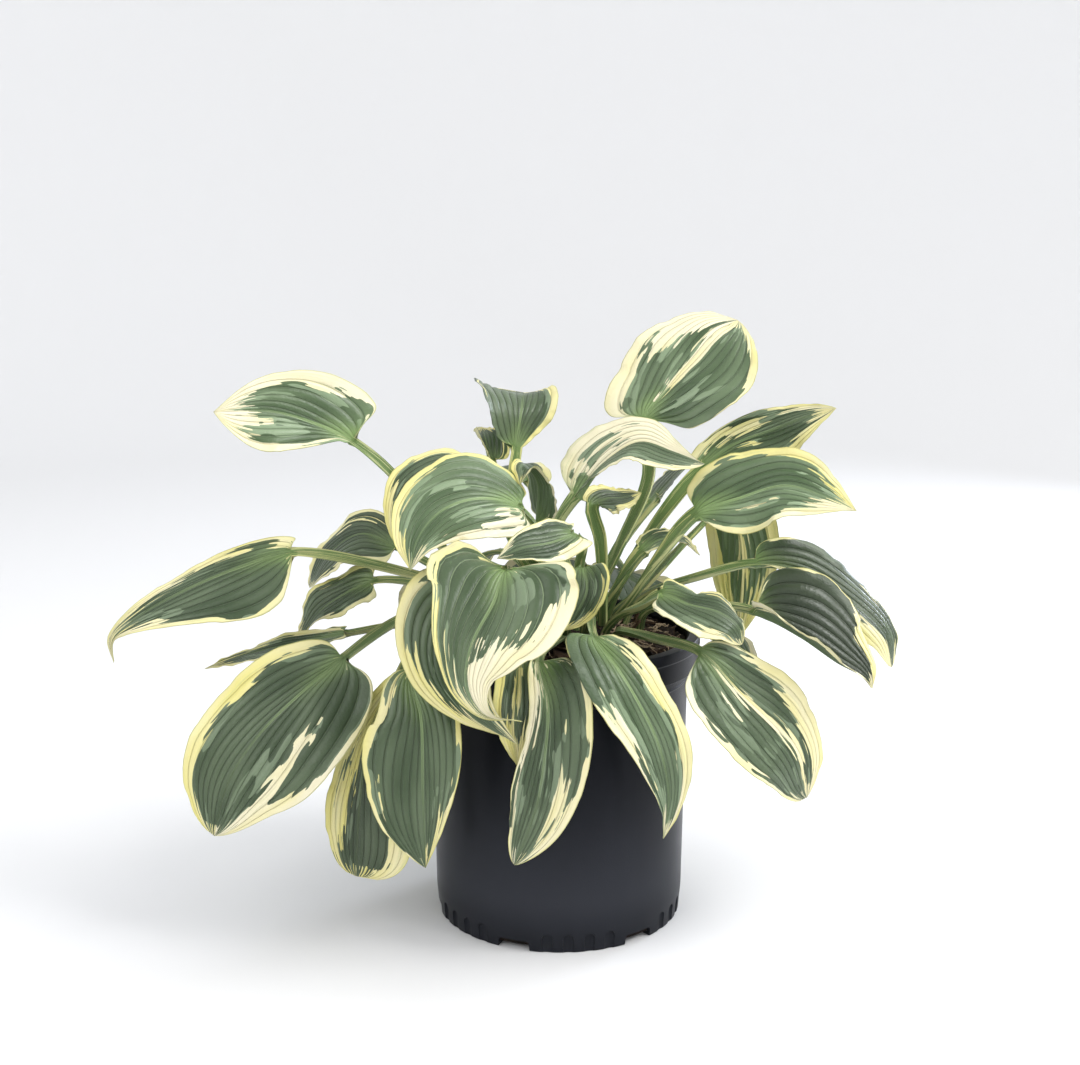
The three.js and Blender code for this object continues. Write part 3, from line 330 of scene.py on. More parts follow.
    Leaf("inner_dark", (22, 318), [(34, -8, 268), (32, -4, 304)], [(26, 4, 328), (37, 10, 332),
         (50, 14, 332), (65, 18, 335)], wide=(14, 22), roll=30, fold=(20, 10), wave=(2, 1, 0.2),
         stalk_wide=6, rim=[(3, 3, 3, 3, 3), (4, 5, 6, 6, 5)], tone=(0.6, 0.7), comb=0.9, light=0.75),
    Leaf("back_right_dark", (22, 57), [(44, 40, 278)], [(78, 68, 321), (94, 84, 335), (108, 98, 345),
         (118, 114, 350)], wide=(26, 16), roll=-20, fold=(14, 6), wave=(3, 1, 0.4), stalk_wide=6.2,
         rim=[(2, 2, 2), (2, 2, 2)], tone=0.6, comb=0.6, light=0.75),
    Leaf("inner_small", (11, 0), [(44, 8, 259)], [(66, 12, 290), (82, 15, 299), (98, 17, 297),
         (112, 16, 285)], wide=13, lobe=0.06, roll=20, fold=(20, 10), wave=(2, 1, 0.2), stalk_wide=7,
         rim=[(3, 3, 4, 4, 3), (3, 4, 4, 4, 3)], tone=(0.6, 0.5), comb=0.7, light=1.2),
    Leaf("back_centre", (34, 95), [(0, 78, 275)], [(-10, 112, 255), (-18, 152, 225), (-24, 184, 170),
         (-26, 196, 110)], wide=44, lobe=0.16, curl=-20, wave=(4, 2, 0.1), rim=[(4, 6, 9, 12, 8, 5, 4),
         (5, 5, 7, 6, 5, 4, 3)], marks=[(1, 0.35, 0.9, 0.4, 0.5, 3), (0, 0.2, 0.7, -0.3, -0.4, 6)],
         tone=(0.4, 0.6), comb=1.2),
    Leaf("back_left", (34, 136), [(-40, 66, 276)], [(-74, 94, 264), (-100, 124, 238), (-116, 152, 190),
         (-124, 164, 130)], wide=(40, 42), lobe=0.16, curl=-20, wave=(4, 2, 0.6),
         rim=[(8, 9, 6, 5, 9, 8, 4), (4, 4, 5, 8, 6, 4, 3)], marks=[(1, 0.4, 0.8, -0.5, -0.5, 1.5),
         (0, 0.2, 0.6, 0.3, 0.4, 7)], tone=(0.5, 0.3), comb=1.3),
    Leaf("back_right", (34, 70), [(44, 80, 268)], [(58, 108, 250), (78, 140, 225), (94, 164, 175),
         (100, 172, 120)], wide=(40, 36), lobe=0.16, curl=-20, wave=(4, 2, 0.3), rim=[(4, 4, 5, 7, 5, 4, 3),
         (9, 11, 8, 6, 9, 8, 4)], marks=[(1, 0.3, 0.85, -0.45, -0.5, 2.5), (0, 0.3, 0.7, 0.3, 0.3, 5)],
         tone=(0.6, 0.4), comb=1.2),
    Leaf("back_right_low", (46, 52), [(76, 58, 246)], [(104, 74, 234), (136, 92, 210), (156, 104, 170),
         (160, 112, 124)], wide=(32, 34), lobe=0.14, curl=-20, wave=(3, 2, 0.8), rim=[(3, 4, 6, 5, 4, 3, 2),
         (5, 6, 8, 10, 8, 5, 3)], tone=(0.7, 0.4), comb=1.1),
    Leaf("back_upper", (22, 92), [(-2, 60, 290)], [(-26, 88, 332), (-48, 110, 340), (-72, 126, 328),
         (-88, 134, 300)], wide=34, lobe=0.14, curl=-20, wave=(3, 2, 0.4), rim=[(4, 5, 6, 5, 4, 3, 2),
         (4, 6, 8, 9, 7, 5, 3)], tone=(0.6, 0.5), comb=1.2),
]

STUBS = [
    Leaf("dry_stalk_1", (46, 20), [], [(70, 26, 252)]),
    Leaf("dry_stalk_2", (47, 35), [], [(66, 42, 246)]),
    Leaf("dry_stalk_3", (46, 322), [], [(62, -30, 244)]),
]


def smooth(t):
    return t * t * (3 - 2 * t)


def clamp(t):
    return np.clip(t, 0, 1)


def mix(pair, t):
    return pair[0] + (pair[1] - pair[0]) * t


def unit(a):
    return a / np.maximum(np.linalg.norm(a, axis=-1, keepdims=True), 1e-9)


def by_side(v, left_value, right_value):
    return np.where(v < 0, right_value, left_value)


# Meshes


def new_piece(name, points, faces, material, attributes=None, edge_codes=None):
    """A mesh from points in mm, with vector attributes. Edges between points of one code are sharp."""
    mesh = bpy.data.meshes.new(name)
    mesh.from_pydata((np.asarray(points) * MM).tolist(), [], [list(map(int, f)) for f in faces])
    mesh.polygons.foreach_set("use_smooth", [True] * len(mesh.polygons))
    for key, values in (attributes or {}).items():
        made = mesh.attributes.new(key, "FLOAT_VECTOR", "POINT")
        made.data.foreach_set("vector", np.stack(values, -1).astype(np.float32).ravel())
    if edge_codes is not None:
        ends = np.zeros(2 * len(mesh.edges), np.int32)
        mesh.edges.foreach_get("vertices", ends)
        first, second = edge_codes[ends.reshape(-1, 2)].T
        sharp = (first == second) & (first > 0)
        mesh.attributes.new("sharp_edge", "BOOLEAN", "EDGE").data.foreach_set("value", sharp)
    mesh.materials.append(material)
    mesh.update()
    return new_object(name, mesh)


def new_object(name, data):
    made = bpy.data.objects.new(name, data)
    bpy.context.scene.collection.objects.link(made)
    return made


def sharpen(mesh, degrees):
    """Shades a mesh smooth, apart from its sharper edges."""
    bm = bmesh.new()
    bm.from_mesh(mesh)
    bmesh.ops.recalc_face_normals(bm, faces=bm.faces)
    for face in bm.faces:
        face.smooth = True
    for edge in bm.edges:
        edge.smooth = len(edge.link_faces) == 2 and edge.calc_face_angle(0) < math.radians(degrees)
    bm.to_mesh(mesh)
    bm.free()


def ring_faces(starts, sides):
    """Faces between closed rings of points that begin at the given numbers."""
    return [(a + i, b + i, b + (i + 1) % sides, a + (i + 1) % sides)
            for a, b in zip(starts, starts[1:]) for i in range(sides)]


def tube_faces(rings, sides, first=0):
    """Faces of a tube of rings of points with both its ends closed."""
    starts = [first + sides * k for k in range(rings)]
    ends = [range(first, first + sides), range(starts[-1], starts[-1] + sides)[::-1]]
    return ring_faces(starts, sides) + ends


def tip_faces(start, sides, tip):
    """Faces between a ring of points and the point at its tip."""
    return [(start + i, tip, start + (i + 1) % sides) for i in range(sides)]


def disc_faces(rings, sides):
    """Faces round a middle point, number 0, and on over the rings that follow it."""
    middle = [(0, 1 + i, 1 + (i + 1) % sides) for i in range(sides)]
    return middle + ring_faces([1 + sides * k for k in range(rings)], sides)


def circle(sides):
    return [TURN * i / sides for i in range(sides)]


def turned(profile, sides):
    """Rings of points from radii and heights."""
    return [(r * math.cos(a), r * math.sin(a), z) for r, z in profile for a in circle(sides)]


def direction(bearing):
    return math.cos(math.radians(bearing)), math.sin(math.radians(bearing))


# Curves


def soil_height(x, y):
    d = np.hypot(x - CROWN[0], y - CROWN[1]) / MOUND_SPREAD
    return SOIL_EDGE + MOUND * np.exp(-d * d)


def by_crown(reach, bearing):
    c, s = direction(bearing)
    return CROWN[0] + reach * c, CROWN[1] + reach * s


def root_point(row, down):
    x, y = by_crown(*row.root)
    return np.array([x, y, soil_height(x, y) - down])


def path_points(row):
    """The points that a leaf passes, and the direction to its left."""
    points = [root_point(row, ROOT_DEPTH), root_point(row, 0)]
    points += [np.array(p, float) for p in row.stalk + row.rib]
    x, y, _ = points[-1] - points[0]
    bearing = math.atan2(y, x)
    return points, np.array([-math.sin(bearing), math.cos(bearing), 0])


def curve_point(points, t):
    """A point of the centripetal curve through the points."""
    last = len(points) - 1
    place = t * last
    i = min(int(place), last - 1)
    share = place - i
    p1, p2 = points[i], points[i + 1]
    p0 = points[i - 1] if i > 0 else 2 * p1 - p2
    p3 = points[i + 2] if i + 2 <= last else 2 * p2 - p1
    d0, d1, d2 = (max(np.dot(b - a, b - a) ** 0.25, 1e-4) for a, b in ((p0, p1), (p1, p2), (p2, p3)))
    t1 = ((p1 - p0) / d0 - (p2 - p0) / (d0 + d1) + (p2 - p1) / d1) * d1
    t2 = ((p2 - p1) / d1 - (p3 - p1) / (d1 + d2) + (p3 - p2) / d2) * d1
    c2 = -3 * p1 + 3 * p2 - 2 * t1 - t2
    c3 = 2 * p1 - 2 * p2 + t1 + t2
    return p1 + t1 * share + c2 * share**2 + c3 * share**3


class Line:
    """A curve cut into short steps, so that a place on it is found by its distance from the start."""

    def __init__(self, points, start, end):
        places = [start + (end - start) * i / LINE_STEPS for i in range(LINE_STEPS + 1)]
        self.points = np.array([curve_point(points, t) for t in places])
        steps = np.diff(self.points, axis=0)
        spans = np.linalg.norm(steps, axis=1)
        self.steps = steps / spans[:, None]
        self.lengths = np.concatenate([[0], np.cumsum(spans)])
        self.length = self.lengths[-1]
        self.middles = (self.lengths[1:] + self.lengths[:-1]) / 2

    def at(self, distance):
        i = np.clip(np.searchsorted(self.lengths, distance, side="right") - 1, 0, LINE_STEPS - 1)
        point = self.points[i] + self.steps[i] * (distance - self.lengths[i])[..., None]
        along = np.stack([np.interp(distance, self.middles, self.steps[:, k]) for k in range(3)], -1)
        return point, unit(along)


def frames(line, distance, left, roll):
    """Points of a line, with the directions along it, to the left and out of the upper face."""
    point, along = line.at(distance)
    side = unit(left - along * np.sum(left * along, -1, keepdims=True))
    turn = np.radians(roll)[..., None]
    side = side * np.cos(turn) + np.cross(along, side) * np.sin(turn)
    return point, along, side, np.cross(along, side)


def place_on(line, share, left, roll):
    """The same as frames, for one place at a share of the line's length."""
    return [part[0] for part in frames(line, np.array([line.length * share]), left, np.array([roll]))]


# Blades


def outline(u, form):
    a, b = form
    peak = a / (a + b)
    return u**a * (1 - u) ** b / (peak**a * (1 - peak) ** b)


def half_width(row, u, v):
    """Distance from the midrib to the margin, on the left where v is above 0 and else on the right."""
    u = clamp(u)
    left, right = (wide * outline(u, form) + row.stalk_wide * (1 - u) ** BASE_FADE
                   for wide, form in zip(row.wide, row.form))
    return by_side(v, left, right)


def section(row, u, v):
    """How far a blade's points stand out and up from the midrib, and their distance from it on the blade."""
    w = np.abs(v)
    reach = w * half_width(row, u, v)
    fold = np.radians(mix(row.fold, smooth(u)))
    bend = by_side(v, *(math.radians(curl) / wide for curl, wide in zip(row.curl, row.wide)))
    angle = fold + bend * reach
    straight = np.abs(bend * reach) < 1e-4
    safe = np.where(straight, 1.0, bend)
    out = np.where(straight, reach * np.cos(fold), (np.sin(angle) - np.sin(fold)) / safe)
    lift = np.where(straight, reach * np.sin(fold), (np.cos(fold) - np.cos(angle)) / safe)
    height, count, phase = row.wave
    turn = TURN * (count * u + phase + by_side(v, 0, RIGHT_WAVE_SHIFT))
    ripple = height * w**2 * np.sin(turn) * np.sin(math.pi * np.minimum(1, u + 0.05))
    return np.sign(v) * (out - ripple * np.sin(angle)), lift + ripple * np.cos(angle), reach


def fan(u):
    """Veins crowd at the midrib near the base and spread to even shares of the blade at the tip."""
    return 1 + VEIN_FAN * (1 - u) ** 2


def fanned(q, u):
    return np.sign(q) * np.abs(q) ** fan(u)


def fine_relief(row, u, v, q, veins, rng):
    """Height over the plain blade: veins that lie in grooves, and small waves of the margin."""
    w = np.abs(v)
    half = half_width(row, u, v)
    spacing = half / veins * fan(u) * np.abs(q) ** (fan(u) - 1)
    ends = clamp(u / 0.08) * clamp((1 - u) / 0.12)
    inner = 1 - smooth(clamp((w - 0.8) / 0.2))
    nearest = np.abs(q * veins - np.round(q * veins))
    sharp = 1 - smooth(clamp(nearest / 0.2))
    broad = 0.5 + 0.5 * np.cos(TURN * veins * q)
    groove = -(SHARP_GROOVE * sharp + BROAD_GROOVE * broad) * spacing * ends * inner
    midrib = -MIDRIB_DEPTH * np.exp(-((w * half / MIDRIB_HALF) ** 2)) * clamp(u / 0.1) * (1 - u)
    shifts = [rng.uniform(0, 1) for _ in range(4)]
    few, many = MARGIN_WAVES
    waves = [np.sin(TURN * (few * u + a)) + 0.7 * np.sin(TURN * (many * u + b))
             for a, b in zip(shifts, shifts[2:])]
    return groove + midrib + MARGIN_WAVE * w**5 * by_side(v, *waves) * ends


def thickness(row, u, v, reach):
    wide = row.stalk_wide
    deep = STALK_THICK * wide * (0.55 * np.exp(-u / 0.07) + 0.35 * (1 - u) ** 1.5 + 0.1 * (1 - u))
    keel_half = wide * (0.35 + 0.65 * np.exp(-u / 0.08)) * (1 - 0.6 * u)
    keel = deep * np.sqrt(np.maximum(0, 1 - (reach / keel_half) ** 2))
    return EDGE_THICKNESS + CORE_THICKNESS * (1 - v**2) * smooth(clamp(u / 0.1)) + keel


def pale_field(row, u, v):
    """How far, in mm, a point lies inside the pale zone, and inside the grey one; below 0 is outside."""
    half = half_width(row, u, v)
    width = by_side(v, *(np.interp(u, np.linspace(0, 1, len(rim)), rim) for rim in row.rim))
    width = mix((row.stalk_rim, width), clamp(u / 0.06))
    pale = width - (1 - np.abs(v)) * half
    grey = pale + row.grey
    for kind, u0, u1, v0, v1, mark_half in row.marks:
        t = (u - u0) / (u1 - u0)
        shape = mark_half * np.sin(math.pi * clamp(t)) ** 0.6 - np.abs(v - mix((v0, v1), t)) * half
        field = np.where((t > 0) & (t < 1), shape, OUTSIDE)
        if kind == GREEN_MARK:
            pale = np.minimum(pale, -field)
            continue
        if kind == PALE_MARK:
            pale = np.maximum(pale, field)
            field = field + GREY_RIM
        grey = np.maximum(grey, field)
    return pale, grey


def closed_rings(upper, lower, fields):
    """Rings of points out on the upper face and back on the lower one, with their fields and edge codes."""
    columns = upper.shape[1]
    points = np.concatenate([upper, lower[:, ::-1]], 1)
    fields = [np.broadcast_to(field, upper.shape[:2]) for field in fields]
    pairs = [(field, field) for field in fields] + [(0 * fields[0], 0 * fields[0] + 1)]
    data = np.stack([np.concatenate([up, down[:, ::-1]], 1) for up, down in pairs], -1)
    codes = np.zeros(points.shape[:2], int)
    codes[:, [0, columns - 1, columns, -1]] = 1, 2, 3, 4
    return points.reshape(-1, 3), data.reshape(-1, len(pairs)), codes.ravel()


def leaf_piece(row, seed):
    points, left = path_points(row)
    split = (2 + len(row.stalk)) / (len(points) - 1)
    stalk_line, blade_line = Line(points, 0, split), Line(points, split, 1)
    veins = int(round(VEINS_LEAST + max(row.wide) / VEIN_SPACING))
    q = np.array([(k + offset) / veins for k in range(veins) for offset in VEIN_OFFSETS] + [1.0])
    q = np.concatenate([-q[:0:-1], q])
    coarse = q[::VEIN_COLUMNS]

    # The blade
    s = np.linspace(0, 1, BLADE_ROWS + 1)[:-1, None]
    u = 0.5 * s + 0.25 * (1 - np.cos(math.pi * s))
    v = fanned(q, u)
    w = np.abs(v)
    back = by_side(v, *row.lobe) * (u / LOBE_AT) * np.exp(1 - u / LOBE_AT) * w**LOBE_BEND
    roll = mix(row.roll, u) + 0 * back
    point, _, side, up = frames(blade_line, blade_line.length * (u - back), left, roll)
    out, lift, reach = section(row, u, v)
    top = point + side * out[..., None] + up * lift[..., None]
    normal = unit(np.cross(np.gradient(top, axis=0), np.gradient(top, axis=1)))
    top = top + normal * fine_relief(row, u, v, q, veins, random.Random(seed))[..., None]
    under = top - normal * thickness(row, u, v, reach)[..., None]
    comb = COMB_STEP * row.comb
    (pale_low, grey_low), (pale_high, grey_high) = (pale_field(row, u + step, v) for step in (-comb, comb))
    blade = closed_rings(top, under, (
        u * blade_line.length, q * veins, pale_low, pale_high, grey_low, grey_high, np.exp(-u / STALK_FADE),
        (1 - w) * half_width(row, u, v), reach))

    # The stalk, which ends in the section of the blade's base
    length = stalk_line.length
    rings = max(12, int(length / RING_STEP))
    distance = np.linspace(0, length, rings + 1)[:-1, None]
    t = clamp((distance - SOIL_END) / (length - SOIL_END))
    wide = mix((ROOT_WIDE, row.stalk_wide), t)
    roll = row.roll[0] * smooth(t) + 0 * coarse
    point, _, side, up = frames(stalk_line, distance + 0 * coarse, left, roll)
    plate = section(row, np.zeros((1, 1)), fanned(coarse, 0)[None, :])
    near = smooth(clamp((distance - length + STALK_SPREAD) / STALK_SPREAD))
    x = mix((coarse * wide, plate[0]), near)
    y = mix((wide * STALK_DEEP * (0.2 + 0.35 * coarse**2), plate[1]), near)
    top = point + side * x[..., None] + up * y[..., None]
    under = top - up * (EDGE_THICKNESS + STALK_THICK * wide * np.sqrt(1 - coarse**2))[..., None]
    edge = (1 - np.abs(coarse)) * wide
    pale = row.stalk_rim - edge
    stalk = closed_rings(top, under, (
        distance - length, coarse * veins, pale, pale, OUTSIDE, OUTSIDE, 1, edge, np.abs(coarse) * wide))

    # The tip's one point, and the faces of all
    tip_data = [blade_line.length, 0, *(rim[-1] for rim in row.rim), INSIDE, INSIDE, 0, 0, 0, 0]
    tip = blade_line.points[-1:], [tip_data], [0]
    points, data, codes = (np.concatenate(parts) for parts in zip(stalk, blade, tip))
    few, many = len(coarse), len(q)
    stalk_rings = [2 * few * k for k in range(rings)]
    blade_rings = [2 * few * rings + 2 * many * k for k in range(BLADE_ROWS)]
    faces = ring_faces(stalk_rings, 2 * few)
    a, b = stalk_rings[-1], blade_rings[0]
    for i in range(few - 1):
        for c, d in ((a + i, b), (a + few + i, b + many)):
            faces.append((c, *(d + VEIN_COLUMNS * i + j for j in range(VEIN_COLUMNS + 1)), c + 1))
    faces += [(a + few - 1, b + many - 1, b + many, a + few), (a + 2 * few - 1, b + 2 * many - 1, b, a)]
    faces += ring_faces(blade_rings, 2 * many) + [range(2 * few)]
    faces += tip_faces(blade_rings[-1], 2 * many, len(points) - 1)

    along, vein, pale_low, pale_high, grey_low, grey_high, stalkness, edge, reach, lower = data.T
    one = np.ones(len(data))
    return new_piece(f"leaf_{row.name}_fine", points, faces, leaf_material, {
        "leaf_place": (along, vein, seed * one),
        "leaf_pale": (pale_low, pale_high, by_side(vein, *row.tone)),
        "leaf_grey": (grey_low, grey_high, reach),
        "leaf_kind": (lower, stalkness, edge),
        "leaf_look": (row.light * one, along / blade_line.length, row.lines * one),
    }, codes)


# Materials


class Value:
    """An output of a material's node, which takes plain arithmetic."""

    def __init__(self, shade, socket):
        self.shade, self.socket = shade, socket

    def __add__(self, other):
        return self.shade.math("ADD", self, other)

    def __sub__(self, other):
        return self.shade.math("SUBTRACT", self, other)

    def __rsub__(self, other):
        return self.shade.math("SUBTRACT", other, self)

    def __mul__(self, other):
        return self.shade.math("MULTIPLY", self, other)

    def __truediv__(self, other):
        return self.shade.math("DIVIDE", self, other)


class Shade:
    """A material's nodes, with short names for the ones used here."""

    def __init__(self, name):
        self.material = bpy.data.materials.new(name)
        self.material.use_nodes = True
        self.tree = self.material.node_tree
        self.skin = self.tree.nodes["Principled BSDF"]

    def put(self, socket, value):
        if isinstance(value, Value):
            self.tree.links.new(value.socket, socket)
        else:
            socket.default_value = value

    def fill(self, node, sockets):
        for key, value in sockets.items():
            self.put(node.inputs[key.replace("_", " ")], value)

    def node(self, kind, operation=None, out=0, **sockets):
        made = self.tree.nodes.new(kind)
        if operation:
            made.operation = operation
        self.fill(made, sockets)
        return Value(self, made.outputs[out])

    def math(self, operation, a, b=0.0, clamped=False):
        made = self.tree.nodes.new("ShaderNodeMath")
        made.operation = operation
        made.use_clamp = clamped
        for socket, value in zip(made.inputs, (a, b)):
            self.put(socket, value)
        return Value(self, made.outputs[0])

    def ramp(self, value, low, high, to_low=0.0, to_high=1.0):
        """A smooth step from to_low to to_high as the value goes from low to high."""
        made = self.tree.nodes.new("ShaderNodeMapRange")
        made.interpolation_type = "SMOOTHSTEP"
        for socket, number in zip(made.inputs, (value, low, high, to_low, to_high)):
            self.put(socket, number)
        return Value(self, made.outputs[0])

    def blend(self, factor, a, b):
        """Factor 0 gives a and 1 gives b."""
        made = self.tree.nodes.new("ShaderNodeMix")
        made.data_type = "RGBA"
        self.put(made.inputs["Factor"], factor)
        for socket, colour in zip([s for s in made.inputs if s.type == "RGBA"], (a, b)):
            self.put(socket, colour if isinstance(colour, Value) else (*colour, 1))
        return Value(self, [s for s in made.outputs if s.type == "RGBA"][0])

    def vector(self, x, y, z):
        return self.node("ShaderNodeCombineXYZ", X=x, Y=y, Z=z)

    def parts(self, vector):
        made = self.tree.nodes.new("ShaderNodeSeparateXYZ")
        self.put(made.inputs[0], vector)
        return [Value(self, socket) for socket in made.outputs]

    def attribute(self, name):
        made = self.tree.nodes.new("ShaderNodeAttribute")
        made.attribute_name = name
        return self.parts(Value(self, made.outputs["Vector"]))

    def noise(self, vector, scale=1.0, detail=2.0, roughness=0.5):
        sockets = dict(Vector=vector, Scale=scale, Detail=detail, Roughness=roughness)
        return self.node("ShaderNodeTexNoise", **sockets)

    def place(self):
        return self.node("ShaderNodeTexCoord", out="Object")

    def bump(self, height, distance, strength=1.0):
        self.set(Normal=self.node("ShaderNodeBump", Height=height, Distance=distance, Strength=strength))

    def set(self, **sockets):
        self.fill(self.skin, sockets)


DEEP_GREEN = (0.036, 0.066, 0.023)
BLUE_GREEN = (0.096, 0.138, 0.070)
GREY_GREEN = (0.225, 0.295, 0.180)
UNDER_GREEN = (0.125, 0.200, 0.085)
GROOVE_SHADE_GREEN = (0.026, 0.045, 0.022)
VEIN_GREEN = (0.26, 0.34, 0.19)
MIDRIB_GREEN = (0.25, 0.35, 0.15)
BASE_GREEN = (0.225, 0.330, 0.115)
CREAM = (0.86, 0.80, 0.56)
YELLOW = (0.78, 0.71, 0.24)
CREAM_VEIN = (0.60, 0.60, 0.26)
CREAM_WASH = (0.46, 0.52, 0.25)
EDGE_GREEN = (0.56, 0.56, 0.14)
STALK_GREEN = (0.095, 0.180, 0.040)
STALK_PALE = (0.22, 0.33, 0.095)
STALK_CREAM = (0.62, 0.66, 0.34)
STALK_FOOT_SHADE = (0.035, 0.060, 0.018)
POT_BLACK = (0.0030, 0.0034, 0.0046)
POT_GREY = (0.0060, 0.0067, 0.0090)
POT_FLOOR_REFLECTION = (0.0310, 0.0330, 0.0400)
POT_DUST = (0.045, 0.044, 0.042)
SOIL_DARK = (0.007, 0.005, 0.004)
SOIL_BROWN = (0.028, 0.018, 0.012)
SOIL_SPECK = (0.15, 0.11, 0.075)
BARK_DARK = (0.009, 0.006, 0.0045)
BARK_RED = (0.070, 0.040, 0.024)
BARK_FIBRE = (0.055, 0.035, 0.024)


def make_leaf_material():
    m = Shade("hosta_leaf")
    along, vein, seed = m.attribute("leaf_place")
    pale_low, pale_high, tone = m.attribute("leaf_pale")
    grey_low, grey_high, reach = m.attribute("leaf_grey")
    under, stalk, edge = m.attribute("leaf_kind")
    light, share, lines = m.attribute("leaf_look")
    shift = seed * 7.31

    def streaks(across, length, extra, detail=2.0):
        """Noise that runs along the veins."""
        return m.noise(m.vector(vein * across, along / length, shift + extra), 1.0, detail)

    # Where the pale and the grey zones lie
    steps = m.ramp(streaks(1.2, 40, 31, 1.0), 0.38, 0.62, -2.4, 2.4)
    teeth = m.ramp(streaks(2.3, 30, 0), 0.40, 0.60)
    lie = pale_low + (pale_high - pale_low) * teeth + (steps + (streaks(4.5, 16, 47) - 0.5) * 3.2)
    pale = m.ramp(lie, -0.2, 0.2)
    teeth = m.ramp(streaks(1.6, 34, 57), 0.40, 0.60)
    patch = m.ramp(streaks(0.75, 42, 83, 1.0), 0.36, 0.70, -9.0, 7.0)
    grey = m.ramp(grey_low + (grey_high - grey_low) * teeth + (patch + steps), -0.3, 0.5)

    # Green, with its veins, painted shade beside the vein grooves, its midrib and paler base, scaled by each
    # leaf's lightness
    mottle = m.ramp(streaks(0.3, 70, 11, 1.0), 0.3, 0.7)
    nearest = m.math("ABSOLUTE", vein - m.math("ROUND", vein))
    groove = m.ramp(nearest, 0.012, 0.075, 1.0, 0.0)
    # Painted shade: the green darkens beside each vein groove, where shade falls in the creases
    shade = m.ramp(nearest, 0.03, 0.22, 0.40, 0.0) * (1 - lines * 0.6)
    green = m.blend(shade, m.blend(mottle, DEEP_GREEN, BLUE_GREEN), GROOVE_SHADE_GREEN)
    green = m.blend(groove * lines, green, VEIN_GREEN)
    grey_green = m.blend(mottle, GREY_GREEN, m.blend(0.5, GREY_GREEN, BLUE_GREEN))
    colour = m.blend(grey * 0.72, green, grey_green)
    base = m.ramp(share, 0.02, 0.34, 0.62, 0.0) * m.ramp(reach, 1.0, 15.0, 1.0, 0.0)
    colour = m.blend(base, colour, BASE_GREEN)
    slim = reach / ((1 - share) * 1.1 + 0.55)
    midrib = m.ramp(slim, 0.45, 1.05, 0.75, 0.0) * m.ramp(share, 0.1, 0.9, 1.0, 0.3)
    colour = m.blend(midrib, colour, MIDRIB_GREEN)
    # Each leaf's light scales its green: partly its own tone, partly painted light and shade
    colour = m.node("ShaderNodeVectorMath", "SCALE", Vector=colour, Scale=light)
    colour = m.blend(under, colour, m.blend(0.55, colour, UNDER_GREEN))

    # The margin and the stalk
    tint = m.math("ADD", tone, (streaks(0.5, 60, 5, 1.0) - 0.5) * 1.5, clamped=True)
    margin = m.blend(groove * 0.08, m.blend(tint, CREAM, YELLOW), CREAM_VEIN)
    margin = m.blend(m.ramp(streaks(2.6, 50, 71), 0.56, 0.70, 0.0, 0.30), margin, CREAM_WASH)
    colour = m.blend(pale, colour, margin)
    colour = m.blend(m.ramp(edge, 0.25, 0.8, 0.6, 0.0) * pale, colour, EDGE_GREEN)
    skin = m.blend(m.ramp(streaks(4.0, 60, 19, 3.0), 0.35, 0.65), STALK_GREEN, STALK_PALE)
    skin = m.blend(pale * 0.75, skin, m.blend(tone, STALK_CREAM, YELLOW))
    # Painted shade: the stalks darken towards the soil, for the shade deep in the crown
    skin = m.blend(m.ramp(m.parts(m.place())[2], 0.215, 0.300, 0.45, 0.0), skin, STALK_FOOT_SHADE)
    colour = m.blend(stalk, colour, skin)

    cells = m.vector(vein * 3.2, along / 1.9, shift)
    net = m.node("ShaderNodeTexVoronoi", out="Distance", Vector=cells, Scale=1.0)
    height = groove * -1.0 + net * 0.22 + m.noise(m.place(), 900.0, 3.0) * 0.25
    m.bump(height * (1 - under * 1.7), 0.0009, 0.9)
    rough = m.ramp(m.noise(m.place(), 60.0, 3.0), 0.3, 0.7, 0.30, 0.44)
    m.set(Base_Color=colour, Roughness=rough + under * 0.12)
    m.set(Specular_IOR_Level=0.50, Sheen_Weight=0.06, Sheen_Roughness=0.5)
    return m.material


def make_pot_material():
    m = Shade("black_moulded_plastic")
    place = m.place()
    x, y, z = m.parts(place)
    drawn = m.noise(m.vector(x * 60, y * 60, z * 3), 1.0, 4.0)
    cloud = m.noise(place, 14.0, 3.0)
    colour = m.blend(m.ramp(drawn * 0.4 + cloud * 0.6, 0.35, 0.65), POT_BLACK, POT_GREY)
    # Painted reflection: the lower body is lighter and bluer, for the bright floor that it reflects; this
    # fades out upwards, so the upper body stays darker as painted shade under the leaves
    floor_reflection = m.ramp(z, 0.03, 0.16, 0.95, 0.0) * m.ramp(z, 0.008, 0.045, 0.45, 1.0)
    colour = m.blend(floor_reflection, colour, POT_FLOOR_REFLECTION)
    dust = m.ramp(m.noise(place, 45.0, 6.0, 0.65), 0.58, 0.78, 0.0, 0.28) * m.ramp(z, 0.0, 0.03, 1.0, 0.25)
    colour = m.blend(dust, colour, POT_DUST)
    m.set(Base_Color=colour, Roughness=m.ramp(cloud, 0.3, 0.7, 0.30, 0.40), Specular_IOR_Level=0.11)
    m.set(Specular_Tint=(0.86, 0.90, 1.0, 1))
    m.bump(m.noise(place, 1400.0, 2.0) + drawn * 0.6, 0.00012, 0.7)
    return m.material


def make_soil_material():
    m = Shade("potting_soil")
    place = m.place()
    colour = m.blend(m.ramp(m.noise(place, 55.0, 5.0, 0.6), 0.3, 0.7), SOIL_DARK, SOIL_BROWN)
    colour = m.blend(m.ramp(m.noise(place, 420.0, 3.0), 0.62, 0.72) * 0.5, colour, SOIL_SPECK)
    m.set(Base_Color=colour, Roughness=0.95, Specular_IOR_Level=0.2)
    m.bump(m.noise(place, 260.0, 8.0, 0.7), 0.0016)
    return m.material


